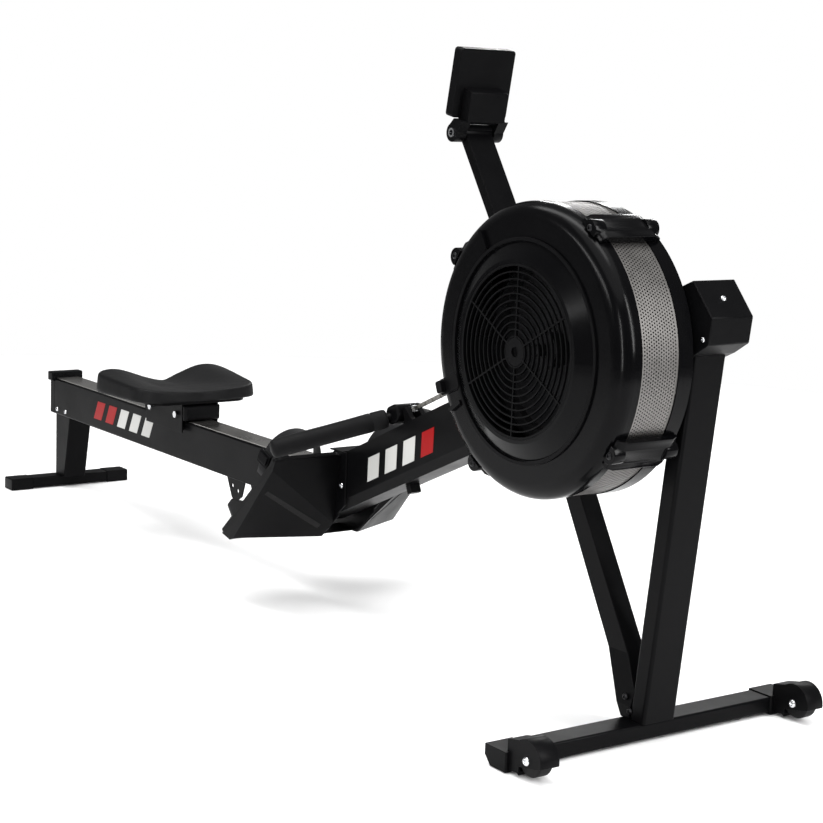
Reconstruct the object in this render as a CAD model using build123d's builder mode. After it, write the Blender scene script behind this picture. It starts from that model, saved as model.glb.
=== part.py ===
"""Air rowing machine. Millimetres, +X towards the flywheel, +Y to the rower's left, +Z up.
Drawn with X 0 at the heel edge of the foot boards, and moved when written, so that the origin
is on the floor under the middle of the whole machine."""
import math
import os

from build123d import *

os.makedirs("parts", exist_ok=True)

# ---- driving dimensions ----
MIDDLE_X = 17.4           # the machine's middle, as drawn
FRONT_BAR_X = 1050.0      # centre of the front crossbar
REAR_BAR_X = -1120.0      # centre of the rear foot bar
FOOT_WIDTH = 610.0        # over the front end caps
REAR_WIDTH = 316.0        # over the rear end caps
RAIL_HALF = 33.0          # half width of the seat rail
RAIL_TOP = 271.0
RAIL_HEIGHT = 89.0
RAIL_REAR = -1126.0
RAIL_FRONT = 104.0
STRIP = 1.5               # thickness of the stainless running strip
BEAM_ANGLE = 24.35        # slope of the main beam, degrees
BEAM_TOP_X = 1139.5       # upper front corner of the beam's top line
BEAM_TOP_Z = 737.0
BEAM_HALF = 40.0
BEAM_DEPTH = 101.0
BEAM_WALL = 3.0
TUBE_WALL = 3.0           # stand and leg tubes
AXLE_X = 931.0            # flywheel axle, along Y
AXLE_Z = 613.0
CASE_R = 231.0            # outer radius of the flywheel casing
CASE_NEAR = -194.0        # flat outer face of the near shell
CASE_BAND = (-155.0, -82.0)
CASE_FAR = -43.0
GRILLE_R = 136.0
CONE_R = 169.0
CONE_RISE = 15.0
CHAIN_PITCH = 12.7
SPROCKET_TEETH = 28
CHAIN_HALF = 4.0          # half of the chain's plate height
RUN = 0.1                 # running clearance
GAP = 0.3                 # clearance between parts that slide past each other
SEAT_X = -520.0           # middle of the seat at rest
ROLLER_R = 13.0
PIVOT_X = 529.7           # monitor tilt axis
PIVOT_Z = 935.4
ARM_FOOT_X = 741.0        # fold axis of the monitor arm
ARM_FOOT_Z = 624.0
LUG_X = 383.0             # storage lug under the main beam
WHEEL_R = 26.0            # transport wheels
WHEEL_X = FRONT_BAR_X + 66.0
WHEEL_Z = 31.0
WHEEL_Y = 280.0
HEEL_Z = 133.0            # foot boards: from the heel edge at X 0
TOE_X = 202.0
TOE_Z = 318.0
BOARD_IN = 46.0
BOARD_OUT = 190.0
BOARD_T = 6.0
HANDLE_X = 350.0
HANDLE_END = (-87.0, 237.0, -66.0)

beam_a = math.radians(BEAM_ANGLE)
pitch_r = CHAIN_PITCH / (2 * math.sin(math.pi / SPROCKET_TEETH))
board_a = math.atan2(TOE_Z - HEEL_Z, TOE_X)
board_len = math.hypot(TOE_X, TOE_Z - HEEL_Z)


def on_beam(s, t):
    """Point in the X-Z plane, s along the beam from its top corner and t above its top face."""
    return (
        BEAM_TOP_X + s * math.cos(beam_a) - t * math.sin(beam_a),
        BEAM_TOP_Z + s * math.sin(beam_a) + t * math.cos(beam_a),
    )


def beam_s(x):
    """Distance along the beam of the top-face point at this X."""
    return (x - BEAM_TOP_X) / math.cos(beam_a)


def on_board(u, h):
    """Point in the X-Z plane, u up the foot board from the heel and h above its face."""
    return (
        u * math.cos(board_a) - h * math.sin(board_a),
        HEEL_Z + u * math.sin(board_a) + h * math.cos(board_a),
    )


axle_s = (AXLE_X - BEAM_TOP_X) * math.cos(beam_a) + (AXLE_Z - BEAM_TOP_Z) * math.sin(beam_a)
axle_t = -(AXLE_X - BEAM_TOP_X) * math.sin(beam_a) + (AXLE_Z - BEAM_TOP_Z) * math.cos(beam_a)
chain_t = axle_t + pitch_r
handle_s = beam_s(HANDLE_X) + chain_t * math.tan(beam_a)
HANDLE_Z = on_beam(handle_s, chain_t)[1]
CAP_NOSE = (1183.0, 688.0)
axle_line = Axis((AXLE_X, 0, AXLE_Z), (0, 1, 0))
case_plane = Plane(origin=(AXLE_X, 0, AXLE_Z), x_dir=(1, 0, 0), z_dir=(0, 0, 1))
side_plane = Plane(origin=(AXLE_X, 0, AXLE_Z), x_dir=(1, 0, 0), z_dir=(0, -1, 0))


def beam_plane(s):
    x, z = on_beam(s, 0)
    return Plane(
        origin=(x, 0, z),
        x_dir=(0, 1, 0),
        z_dir=(math.cos(beam_a), 0, math.sin(beam_a)),
    )


def xz_at(y):
    """Drawing plane with X and Z as its axes, extruding towards -Y."""
    return Plane(origin=(0, y, 0), x_dir=(1, 0, 0), z_dir=(0, -1, 0))


def outline(points, mode=Mode.ADD):
    """Closed polygon face, added to the current sketch."""
    Polygon(*points, align=None, mode=mode)


def beam_outline():
    low = -BEAM_DEPTH
    outline(
        [
            (-BEAM_HALF, 0),
            (-BEAM_HALF, low + 16),
            (-BEAM_HALF + 12, low),
            (BEAM_HALF - 12, low),
            (BEAM_HALF, low + 16),
            (BEAM_HALF, 0),
        ]
    )


def y_cylinder(x, z, y_low, y_high, radius):
    """Cylinder along Y, added to the current part."""
    with BuildSketch(xz_at(y_high)) as disc:
        with Locations((x, z)):
            Circle(radius)
    extrude(disc.sketch, amount=y_high - y_low)


# ---- main beam: box section with bevelled lower corners ----
beam_low = beam_s(RAIL_FRONT - 50)
with BuildPart() as beam_solid:
    with BuildSketch(beam_plane(beam_low)):
        beam_outline()
    extrude(amount=-24 - beam_low)
    with BuildSketch(xz_at(0)):
        outline([(-100, 0), (RAIL_FRONT + 6, 0), (RAIL_FRONT + 6, 400), (-100, 400)])
    extrude(amount=60, both=True, mode=Mode.SUBTRACT)

with BuildPart() as beam_hollow:
    with BuildSketch(beam_plane(beam_low)):
        beam_outline()
        offset(amount=-BEAM_WALL, mode=Mode.REPLACE)
    extrude(amount=-20 - beam_low)

with BuildPart() as main_beam:
    add(beam_solid.part)
    add(beam_hollow.part, mode=Mode.SUBTRACT)
    with BuildSketch(xz_at(0)):
        outline([on_beam(axle_s - 80, 5), on_beam(axle_s + 80, 5), on_beam(axle_s + 80, -9),
                 on_beam(axle_s - 80, -9)])
    extrude(amount=11, both=True, mode=Mode.SUBTRACT)
    with BuildSketch(side_plane):
        Circle(24)
    extrude(amount=60, both=True, mode=Mode.SUBTRACT)
    with BuildSketch(beam_plane(beam_s(LUG_X) - BEAM_DEPTH * math.tan(beam_a))):
        with Locations((0, -BEAM_DEPTH)):
            Rectangle(22, 34)
    extrude(amount=7, both=True)
    add(beam_hollow.part, mode=Mode.SUBTRACT)

with BuildPart() as beam_front_cap:
    with BuildSketch(xz_at(0)):
        outline([on_beam(-82, 2.5), on_beam(0, 2.5), CAP_NOSE, (1178, 647), (1150, 629),
                 on_beam(-82, -BEAM_DEPTH - 2.5)])
    extrude(amount=BEAM_HALF + 2.5, both=True)
    fillet(edges().filter_by(Axis.Y).sort_by(Axis.X)[-2:], 5)
    add(beam_solid.part, mode=Mode.SUBTRACT)

# ---- V-shaped front stand ----
with BuildPart() as front_leg:
    with BuildSketch(xz_at(0)):
        outline([(1045, 31), (1079, 31), (1147, 675), (1113, 675)])
    extrude(amount=34, both=True)
    fillet(edges().filter_by(lambda e: abs(e.tangent_at(0.5).Z) > 0.9), 6)
    with BuildSketch(xz_at(0)):
        outline([(1050.4, 54), (1078, 54), (1143, 670), (1116.5, 670)])
    extrude(amount=34 - TUBE_WALL, both=True, mode=Mode.SUBTRACT)
    add(beam_solid.part, mode=Mode.SUBTRACT)
    add(beam_front_cap.part, mode=Mode.SUBTRACT)
    with BuildSketch(xz_at(0)):
        outline([(1000, 640), (1300, 640), (1300, 900), (1000, 900)])
    extrude(amount=60, both=True, mode=Mode.SUBTRACT)

with BuildPart() as rear_strut:
    with BuildSketch(xz_at(0)):
        outline([(1024.5, 31), (1075.5, 31), (804, 490), (764, 490)])
    extrude(amount=34, both=True)
    with BuildSketch(Plane.YZ.offset(700)):
        outline([(-34, 0), (34, 0), (34, 52), (18, 130), (18, 520), (-18, 520), (-18, 130),
                 (-34, 52)])
    extrude(amount=450, mode=Mode.INTERSECT)
    with BuildSketch(xz_at(0)):
        outline([(1006, 70), (1049, 70), (800.5, 490), (767.5, 490)])
    extrude(amount=18 - TUBE_WALL, both=True, mode=Mode.SUBTRACT)
    add(beam_solid.part, mode=Mode.SUBTRACT)
    with BuildSketch(xz_at(0)):
        outline([(1041.6, 0), (1200, 0), (1200, 675), (1113, 675)])
    extrude(amount=60, both=True, mode=Mode.SUBTRACT)
    with BuildSketch(xz_at(0)):
        outline([on_beam(-900, 0), on_beam(0, 0), on_beam(0, 400), on_beam(-900, 400)])
    extrude(amount=60, both=True, mode=Mode.SUBTRACT)

with BuildPart() as front_crossbar:
    with BuildSketch(Plane.XZ.offset(-FOOT_WIDTH / 2 + 52)):
        with Locations((FRONT_BAR_X, 17.5)):
            RectangleRounded(49, 27, 4)
            RectangleRounded(44, 22, 2, mode=Mode.SUBTRACT)
    extrude(amount=FOOT_WIDTH - 104)


def end_cap(side):
    """Moulded end cap of the crossbar with the fork and mudguard of a transport wheel."""
    y_mid = side * WHEEL_Y
    with BuildPart() as cap:
        with BuildSketch(xz_at(side * (FOOT_WIDTH / 2 - 26))):
            outline([(FRONT_BAR_X - 26, 16), (FRONT_BAR_X - 12, 1), (FRONT_BAR_X + 26, 1),
                     (FRONT_BAR_X + 26, 33), (FRONT_BAR_X - 26, 33)])
        extrude(amount=26, both=True)
        fillet(edges().filter_by(Axis.Z).group_by(Axis.X)[-1], 3)
        with BuildSketch(xz_at(y_mid)):
            with Locations((WHEEL_X, WHEEL_Z)):
                Circle(WHEEL_R + 7)
            outline([(FRONT_BAR_X + 20, 4), (FRONT_BAR_X + 20, 52), (WHEEL_X - 20, 58),
                     (WHEEL_X, WHEEL_Z), (WHEEL_X - 4, 8)])
        extrude(amount=18, both=True)
        with BuildSketch(xz_at(y_mid)):
            with Locations((WHEEL_X, WHEEL_Z)):
                Circle(WHEEL_R + 2.5)
        extrude(amount=14.5, both=True, mode=Mode.SUBTRACT)
        with BuildSketch(xz_at(y_mid)):
            outline([(WHEEL_X - 18, -9), (WHEEL_X + 60, -9), (WHEEL_X + 60, 34),
                     (WHEEL_X + 20, 24), (WHEEL_X - 18, 17)])
        extrude(amount=20, both=True, mode=Mode.SUBTRACT)
        y_cylinder(WHEEL_X, WHEEL_Z, y_mid - 18, y_mid - 14.5, 9)
        y_cylinder(WHEEL_X, WHEEL_Z, y_mid + 14.5, y_mid + 18, 9)
        with BuildSketch(xz_at(y_mid + 30)):
            with Locations((WHEEL_X, WHEEL_Z)):
                Circle(4)
        extrude(amount=60, mode=Mode.SUBTRACT)
    return cap


def caster_bolt(side):
    """Wheel axle bolt with a domed head and a nut."""
    y_mid = side * WHEEL_Y
    with BuildPart() as bolt:
        y_cylinder(WHEEL_X, WHEEL_Z, y_mid - 22, y_mid + 22, 4 - RUN / 2)
        y_cylinder(WHEEL_X, WHEEL_Z, y_mid - 22.5, y_mid - 18, 7.5)
        fillet(edges().filter_by(GeomType.CIRCLE).sort_by(Axis.Y)[:1], 2)
        with BuildSketch(xz_at(y_mid + 22.5)):
            with Locations((WHEEL_X, WHEEL_Z)):
                RegularPolygon(7.5, 6)
        extrude(amount=4.5)
    return bolt


def caster_wheel(side):
    y_mid = side * WHEEL_Y
    with BuildPart() as wheel:
        y_cylinder(WHEEL_X, WHEEL_Z, y_mid - 13, y_mid + 13, WHEEL_R)
        fillet(edges().filter_by(GeomType.CIRCLE), 4)
        with BuildSketch(xz_at(y_mid + 20)):
            with Locations((WHEEL_X, WHEEL_Z)):
                Circle(4 + RUN / 2)
        extrude(amount=40, mode=Mode.SUBTRACT)
    return wheel


with BuildPart() as front_end_caps:
    for side in (-1, 1):
        add(end_cap(side).part)

with BuildPart() as front_foot_pads:
    with BuildSketch(Plane.XY):
        with Locations((FRONT_BAR_X, 190), (FRONT_BAR_X, -190)):
            Circle(17)
    extrude(amount=4)
    chamfer(edges().group_by(Axis.Z)[0], 1)

# ---- seat rail and rear foot ----
with BuildPart() as seat_rail:
    with BuildSketch(Plane.YZ.offset(RAIL_REAR)):
        with Locations((0, RAIL_TOP - RAIL_HEIGHT / 2)):
            RectangleRounded(2 * RAIL_HALF, RAIL_HEIGHT, 4)
            RectangleRounded(2 * RAIL_HALF - 5, RAIL_HEIGHT - 5, 2, mode=Mode.SUBTRACT)
    extrude(amount=RAIL_FRONT - RAIL_REAR)

with BuildPart() as rail_strip:
    with BuildSketch(Plane.XY.offset(RAIL_TOP)):
        with Locations(((RAIL_REAR + 5 + RAIL_FRONT) / 2, 0)):
            Rectangle(RAIL_FRONT - RAIL_REAR - 5, 2 * RAIL_HALF - 8)
    extrude(amount=STRIP)

with BuildPart() as rail_end_stop:
    with BuildSketch(Plane.YZ.offset(RAIL_REAR - 22)):
        with Locations((0, 276)):
            RectangleRounded(83, 22, 3)
    extrude(amount=27)
    with BuildSketch(Plane.YZ.offset(RAIL_REAR - 22)):
        with Locations((0, 226)):
            RectangleRounded(2 * RAIL_HALF, 88, 4)
    extrude(amount=22)
    fillet(edges().filter_by(Axis.Y).group_by(Axis.Z)[-1], 3)
    add(seat_rail.part, mode=Mode.SUBTRACT)
    with BuildSketch(Plane.XY.offset(200)):
        with Locations((RAIL_REAR + 50, 0)):
            Rectangle(100, 2 * RAIL_HALF - 2)
    extrude(amount=RAIL_TOP + STRIP - 200, mode=Mode.SUBTRACT)

rail_low = RAIL_TOP - RAIL_HEIGHT
with BuildPart() as rear_leg:
    with BuildSketch(xz_at(0)):
        outline([(-1126, 28), (-1074, 28), (-1042, rail_low), (-1126, rail_low)])
    extrude(amount=29, both=True)
    fillet(edges().filter_by(lambda e: abs(e.tangent_at(0.5).Z) > 0.9), 4)
    with BuildSketch(xz_at(0)):
        outline([(-1123, 20), (-1078, 20), (-1044, rail_low + 5), (-1123, rail_low + 5)])
    extrude(amount=29 - TUBE_WALL, both=True, mode=Mode.SUBTRACT)

with BuildPart() as rear_foot_bar:
    with BuildSketch(Plane.XZ.offset(-REAR_WIDTH / 2 + 58)):
        with Locations((REAR_BAR_X, 15)):
            RectangleRounded(43, 26, 4)
            RectangleRounded(38, 21, 2, mode=Mode.SUBTRACT)
    extrude(amount=REAR_WIDTH - 116)

with BuildPart() as rear_foot_caps:
    for side in (-1, 1):
        with BuildSketch(xz_at(side * (REAR_WIDTH / 2 - 29))):
            outline([(REAR_BAR_X - 23, 0), (REAR_BAR_X + 23, 0), (REAR_BAR_X + 23, 29),
                     (REAR_BAR_X - 23, 29)])
        extrude(amount=29, both=True)
    fillet(edges().filter_by(Axis.Y).group_by(Axis.Z)[-1], 4)
    fillet(edges().filter_by(Axis.Z), 3)

with BuildPart() as rail_hook_bracket:
    for side in (-1, 1):
        with BuildSketch(xz_at(side * 26)):
            outline([(-262, rail_low), (-186, rail_low), (-198, 148), (-222, 134), (-240, 140)])
            with Locations((-215, 158), (-238, 166)):
                Circle(4.5, mode=Mode.SUBTRACT)
        extrude(amount=1.5, both=True)
    with BuildSketch(Plane.XY.offset(rail_low - 3)):
        with Locations((-224, 0)):
            Rectangle(70, 52)
    extrude(amount=3)

# ---- foot rests ----
with BuildPart() as foot_saddle:
    for side in (-1, 1):
        with BuildSketch(xz_at(side * (BEAM_HALF + 1.5))):
            outline([(48, 158), (70, 137), (140, 137), (199, 189), (199, 196), (222, 216),
                     (222, 318), (180, 318), (118, 262), (48, 196)])
        extrude(amount=1.5, both=True)
    with BuildSketch(Plane.XY.offset(315)):
        with Locations((184, 0)):
            Rectangle(42, 2 * BEAM_HALF + 6)
    extrude(amount=3)
    with BuildSketch(Plane.XY.offset(140)):
        with Locations((105, 0)):
            Rectangle(60, 2 * BEAM_HALF)
    extrude(amount=3)


def shroud_block(inset):
    """Wedge between the underside of a foot board and the saddle's side plate."""
    y_in = -BOARD_IN + 2.7 - inset
    y_out = -BOARD_OUT + inset
    heel = on_board(4 + inset, -BOARD_T - GAP)
    toe = on_board(board_len - 4 - inset, -BOARD_T - GAP)
    k = inset
    with BuildSketch(xz_at(y_in)) as inner:
        outline([heel, (48 + k, 131 + k), (140 - k, 137 + k), (183 - k, 172 + k), toe])
    with BuildSketch(xz_at(y_out)) as outer:
        outline([heel, (38 + k, 124 + k), (52 - k, 130 + k), (194 - k, 290 - k), toe])
    loft([inner.sketch, outer.sketch], ruled=True, mode=Mode.SUBTRACT if inset else Mode.ADD)


with BuildPart() as shroud_right:
    shroud_block(0)
    shroud_block(3)

with BuildPart() as foot_shrouds:
    add(shroud_right.part)
    mirror(shroud_right.part, about=Plane.XZ)


def board_plane(u, h, y):
    """Plane on the foot board: x across it, y up it, z out of its face."""
    x, z = on_board(u, h)
    return Plane(
        origin=(x, y, z),
        x_dir=(0, -1, 0),
        z_dir=(-math.sin(board_a), 0, math.cos(board_a)),
    )


board_mid = (BOARD_IN + BOARD_OUT) / 2


with BuildPart() as foot_boards:
    for side in (-1, 1):
        with BuildSketch(board_plane(board_len / 2, 0, side * board_mid)):
            RectangleRounded(BOARD_OUT - BOARD_IN, board_len, 12)
            with Locations((0, -70), (0, 100)):
                SlotOverall(60, 6, mode=Mode.SUBTRACT)
        extrude(amount=-BOARD_T)
        with BuildSketch(board_plane(board_len / 2, 0, side * board_mid)):
            with GridLocations(0, 16, 1, 14):
                Rectangle(118, 3)
        extrude(amount=1)

HEEL_BASE = 1.3           # underside of the heel rest above the board's face


def heel_rest(side):
    """Sliding heel cup: a sole plate with a rounded wall at the heel."""
    with BuildPart() as cup:
        with BuildSketch(board_plane(76, HEEL_BASE, side * board_mid)):
            RectangleRounded(104, 136, 26)
        extrude(amount=5)
        with BuildSketch(board_plane(76, HEEL_BASE, side * board_mid)):
            RectangleRounded(104, 136, 26)
            RectangleRounded(92, 124, 20, mode=Mode.SUBTRACT)
        extrude(amount=42)
        with BuildSketch(xz_at(side * board_mid)):
            outline([on_board(30, 60), on_board(95, 6.3), on_board(160, 6.3), on_board(160, 60)])
        extrude(amount=70, both=True, mode=Mode.SUBTRACT)
        with BuildSketch(board_plane(92, 0, side * board_mid)):
            with GridLocations(0, 14, 1, 5):
                Circle(3)
        extrude(amount=12, mode=Mode.SUBTRACT)
    return cup


STRAP_U = 196.0           # where the strap crosses the foot board
STRAP_LEAN = math.radians(69.5)
STRAP_RISE = 86.0
STRAP_HALF = 62.0
STRAP_T = 2.4
with BuildPart() as foot_straps:
    strap_x, strap_z = on_board(STRAP_U, 14)
    for side in (-1, 1):
        strap_plane = Plane(
            origin=(strap_x, side * board_mid, strap_z),
            x_dir=(0, 1, 0),
            z_dir=(math.sin(STRAP_LEAN), 0, -math.cos(STRAP_LEAN)),
        )
        for inset, mode in ((0, Mode.ADD), (STRAP_T, Mode.SUBTRACT)):
            half = STRAP_HALF - inset
            top = STRAP_RISE - inset
            with BuildSketch(strap_plane):
                with BuildLine():
                    Polyline((-half + 6, top * 0.5), (-half, 0), (half, 0), (half - 6, top * 0.5))
                    ThreePointArc((half - 6, top * 0.5), (0, top), (-half + 6, top * 0.5))
                make_face()
            extrude(amount=14 + inset, both=True, mode=mode)

with BuildPart() as handle_hook:
    for side in (-1, 1):
        with BuildSketch(xz_at(side * 14)):
            outline([on_beam(handle_s + 8, 0), on_beam(handle_s + 52, 0),
                     on_beam(handle_s + 40, 12), on_beam(handle_s + 30, chain_t + 5),
                     on_beam(handle_s + 22, chain_t + 5), on_beam(handle_s + 20, 12)])
        extrude(amount=5, both=True)

# ---- flywheel casing ----
SHELL_WALL = 3.0
SHOULDER = 26.0           # rounding of the near shell's rim


def shoulder_mid(radius):
    """Middle of the rim's quarter circle."""
    reach = radius * math.sqrt(0.5)
    return (CASE_R - SHOULDER + reach, CASE_NEAR + SHOULDER - reach)


with BuildPart() as casing_near_shell:
    with BuildSketch(case_plane):
        with BuildLine():
            Line((CASE_R, CASE_BAND[0]), (CASE_R, CASE_NEAR + SHOULDER))
            ThreePointArc((CASE_R, CASE_NEAR + SHOULDER), shoulder_mid(SHOULDER),
                          (CASE_R - SHOULDER, CASE_NEAR))
            Polyline(
                (CASE_R - SHOULDER, CASE_NEAR), (CONE_R, CASE_NEAR),
                (GRILLE_R + 6, CASE_NEAR - CONE_RISE), (GRILLE_R, CASE_NEAR - CONE_RISE),
                (GRILLE_R, CASE_NEAR - CONE_RISE + 4), (GRILLE_R + 4, CASE_NEAR - CONE_RISE + 4),
                (CONE_R, CASE_NEAR + SHELL_WALL), (CASE_R - SHOULDER, CASE_NEAR + SHELL_WALL),
            )
            ThreePointArc((CASE_R - SHOULDER, CASE_NEAR + SHELL_WALL),
                          shoulder_mid(SHOULDER - SHELL_WALL),
                          (CASE_R - SHELL_WALL, CASE_NEAR + SHOULDER))
            Polyline((CASE_R - SHELL_WALL, CASE_NEAR + SHOULDER),
                     (CASE_R - SHELL_WALL, CASE_BAND[0]), (CASE_R, CASE_BAND[0]))
        make_face()
    revolve(axis=axle_line)
    for angle in (123, 214):
        with BuildSketch(side_plane.offset(-CASE_NEAR - SHELL_WALL)):
            with Locations(Rotation(0, 0, angle) * Location((CONE_R + 26, 0))):
                RectangleRounded(34, 7, 3)
        extrude(amount=SHELL_WALL + 6)

with BuildPart() as casing_far_shell:
    with BuildSketch(case_plane):
        outline([(CASE_R, CASE_BAND[1]), (CASE_R, CASE_FAR - 12), (CASE_R - 12, CASE_FAR),
                 (30, CASE_FAR), (30, CASE_FAR - 3), (CASE_R - 13, CASE_FAR - 3),
                 (CASE_R - 3, CASE_FAR - 13), (CASE_R - 3, CASE_BAND[1])])
    revolve(axis=axle_line)

with BuildPart() as casing_mesh_band:
    with BuildSketch(case_plane):
        with Locations((CASE_R - 2.5, (CASE_BAND[0] + CASE_BAND[1]) / 2)):
            Rectangle(1.2, CASE_BAND[1] - CASE_BAND[0] - 0.4)
    revolve(axis=axle_line)

CLAMP_ANGLES = (57, -33, -123, 147)
CLAMP_ARC = 13.0          # how far round the casing each clamp reaches, degrees
LOBE_NEAR = -182.0        # outer faces of a clamp's two bolt lobes
LOBE_FAR = -56.0


def casing_clamp(angle):
    """Curved clamp block across the casing, with a round bolt lobe at either end."""
    a = math.radians(angle + CLAMP_ARC / 2)
    start = Plane(
        origin=(AXLE_X, 0, AXLE_Z),
        x_dir=(math.cos(a), 0, math.sin(a)),
        z_dir=(-math.sin(a), 0, math.cos(a)),
    )
    with BuildPart() as clamp:
        with BuildSketch(start) as section:
            outline([(CASE_R + 1.2, -177), (CASE_R + 8, -174), (CASE_R + 13, -163),
                     (CASE_R + 13, -74), (CASE_R + 8, -62), (CASE_R + 1.2, -59)])
        revolve(section.sketch, axis=axle_line, revolution_arc=CLAMP_ARC)
        for y_high in (LOBE_NEAR + 22, LOBE_FAR):
            with BuildSketch(xz_at(y_high)) as lobe:
                with Locations(Rotation(0, 0, angle) * Location((CASE_R + 4, 0))):
                    Circle(15)
            lobe_face = lobe.sketch.moved(Location((AXLE_X, 0, AXLE_Z)))
            extrude(lobe_face, amount=22)
        with BuildSketch(xz_at(0)) as inside:
            with Locations((AXLE_X, AXLE_Z)):
                Circle(CASE_R + 1.2)
        extrude(inside.sketch, amount=250, mode=Mode.SUBTRACT)
    return clamp


with BuildPart() as casing_clamps:
    for angle in CLAMP_ANGLES:
        add(casing_clamp(angle).part)

with BuildPart() as intake_grille:
    for ring in range(11):
        with BuildSketch(case_plane):
            with Locations((24 + 11 * ring, CASE_NEAR - CONE_RISE + 2)):
                Rectangle(2.2, 4)
        revolve(axis=axle_line)
    with BuildSketch(side_plane.offset(-CASE_NEAR + CONE_RISE - 4)):
        Circle(GRILLE_R - 0.4)
        Circle(GRILLE_R - 4.4, mode=Mode.SUBTRACT)
        for spoke in range(6):
            with Locations(Rotation(0, 0, 30 + 60 * spoke) * Location((74, 0))):
                Rectangle(120, 2.4)
        Circle(22)
        Circle(8, mode=Mode.SUBTRACT)
    extrude(amount=4)

with BuildPart() as damper_ring:
    with BuildSketch(side_plane.offset(-CASE_NEAR + GAP)):
        Circle(CONE_R + 7)
        Circle(CONE_R + 1.5, mode=Mode.SUBTRACT)
    extrude(amount=3)
    with BuildSketch(side_plane.offset(-CASE_NEAR + GAP)):
        with Locations(Rotation(0, 0, 203) * Location((CONE_R + 28, 0))):
            RectangleRounded(52, 26, 6)
    extrude(amount=4)
    with BuildSketch(side_plane.offset(-CASE_NEAR + GAP + 4)):
        with Locations(Rotation(0, 0, 203) * Location((CONE_R + 44, 0))):
            RectangleRounded(14, 20, 4)
    extrude(amount=9)

# ---- flywheel, axle, sprocket ----
AXLE_R = 10.0
with BuildPart() as flywheel_axle:
    y_cylinder(AXLE_X, AXLE_Z, -172, 54, AXLE_R)
    chamfer(edges().filter_by(GeomType.CIRCLE), 1)

with BuildPart() as axle_bearings:
    for y_low in (-56, 40):
        with BuildSketch(side_plane.offset(-y_low - 14)):
            Circle(23.5)
            Circle(AXLE_R + RUN / 2, mode=Mode.SUBTRACT)
        extrude(amount=14)

with BuildPart() as bearing_cap:
    with BuildSketch(side_plane.offset(-60)):
        Circle(34)
    extrude(amount=20)
    fillet(edges().filter_by(GeomType.CIRCLE).sort_by(Axis.Y)[-1:], 4)
    with BuildSketch(side_plane.offset(-56)):
        Circle(24)
    extrude(amount=16, mode=Mode.SUBTRACT)

with BuildPart() as flywheel_disc:
    with BuildSketch(case_plane):
        outline([(AXLE_R, -150), (28, -150), (28, -122), (132, -122), (132, -135), (150, -135),
                 (150, -105), (132, -105), (132, -118), (28, -118), (28, -92), (AXLE_R, -92)])
    revolve(axis=axle_line)

with BuildPart() as fan_blades:
    with BuildSketch(side_plane.offset(102)):
        for blade in range(24):
            with Locations(Rotation(0, 0, 15 * blade) * Location((181, 0))):
                Rectangle(58, 2.5)
        Circle(154)
        Circle(150.2, mode=Mode.SUBTRACT)
    extrude(amount=36)

with BuildPart() as drive_sprocket:
    with BuildSketch(side_plane.offset(-3)):
        Circle(pitch_r - CHAIN_HALF - 0.4)
        with PolarLocations(pitch_r - CHAIN_HALF + 0.6, SPROCKET_TEETH):
            Circle(3.4, mode=Mode.SUBTRACT)
        with PolarLocations(34, 6):
            Circle(9, mode=Mode.SUBTRACT)
    extrude(amount=6)
    y_cylinder(AXLE_X, AXLE_Z, -16, 16, 22)
    with BuildSketch(side_plane.offset(-20)):
        Circle(AXLE_R + RUN / 2)
    extrude(amount=40, mode=Mode.SUBTRACT)

# ---- chain, return pulley and elastic cord inside the beam ----
lower_t = axle_t - pitch_r
PULLEY_R = 18.0
block_s = beam_s(255)
block_t = lower_t + PULLEY_R + CHAIN_HALF
anchor_s = axle_s - 105
CORD_R = 4.0
idler_s = beam_s(185)
IDLER_R = 18.0
idler_t = block_t + IDLER_R + CORD_R
cord_t = idler_t + IDLER_R + CORD_R


def run_between(s_from, s_to, t, half):
    """Straight flat run parallel to the beam."""
    outline([on_beam(s_from, t - half), on_beam(s_to, t - half), on_beam(s_to, t + half),
             on_beam(s_from, t + half)])


with BuildPart() as drive_chain:
    with BuildSketch(xz_at(0)):
        with Locations((AXLE_X, AXLE_Z)):
            Circle(pitch_r + CHAIN_HALF)
            Circle(pitch_r - CHAIN_HALF, mode=Mode.SUBTRACT)
        outline([on_beam(axle_s, -200), on_beam(axle_s - 200, -200), on_beam(axle_s - 200, 200),
                 on_beam(axle_s, 200)], mode=Mode.SUBTRACT)
        run_between(handle_s + 33, axle_s, chain_t, CHAIN_HALF)
        run_between(block_s, axle_s, lower_t, CHAIN_HALF)
        run_between(block_s, anchor_s, lower_t + 2 * (PULLEY_R + CHAIN_HALF), CHAIN_HALF)
    extrude(amount=3, both=True)

with BuildPart() as return_pulley:
    with BuildSketch(xz_at(5)):
        with Locations(on_beam(block_s, block_t)):
            Circle(PULLEY_R - 0.4)
            Circle(5 + RUN / 2, mode=Mode.SUBTRACT)
    extrude(amount=10)

with BuildPart() as return_block:
    for side in (-1, 1):
        with BuildSketch(xz_at(side * 7.5)):
            run_between(block_s - 32, block_s + 14, block_t, 9)
        extrude(amount=1.5, both=True)
    x, z = on_beam(block_s, block_t)
    y_cylinder(x, z, -6, 6, 5)
    with BuildSketch(xz_at(0)):
        run_between(block_s - 32, block_s - 24, block_t, 9)
    extrude(amount=6, both=True)

with BuildPart() as cord_idler:
    with BuildSketch(xz_at(5)):
        with Locations(on_beam(idler_s, idler_t)):
            Circle(IDLER_R - 0.4)
            Circle(5 + RUN / 2, mode=Mode.SUBTRACT)
    extrude(amount=10)


with BuildPart() as elastic_cord:
    with BuildSketch(xz_at(0)):
        run_between(idler_s, block_s - 33, block_t, CORD_R)
        run_between(idler_s, anchor_s, cord_t, CORD_R)
    extrude(amount=4, both=True)

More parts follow.
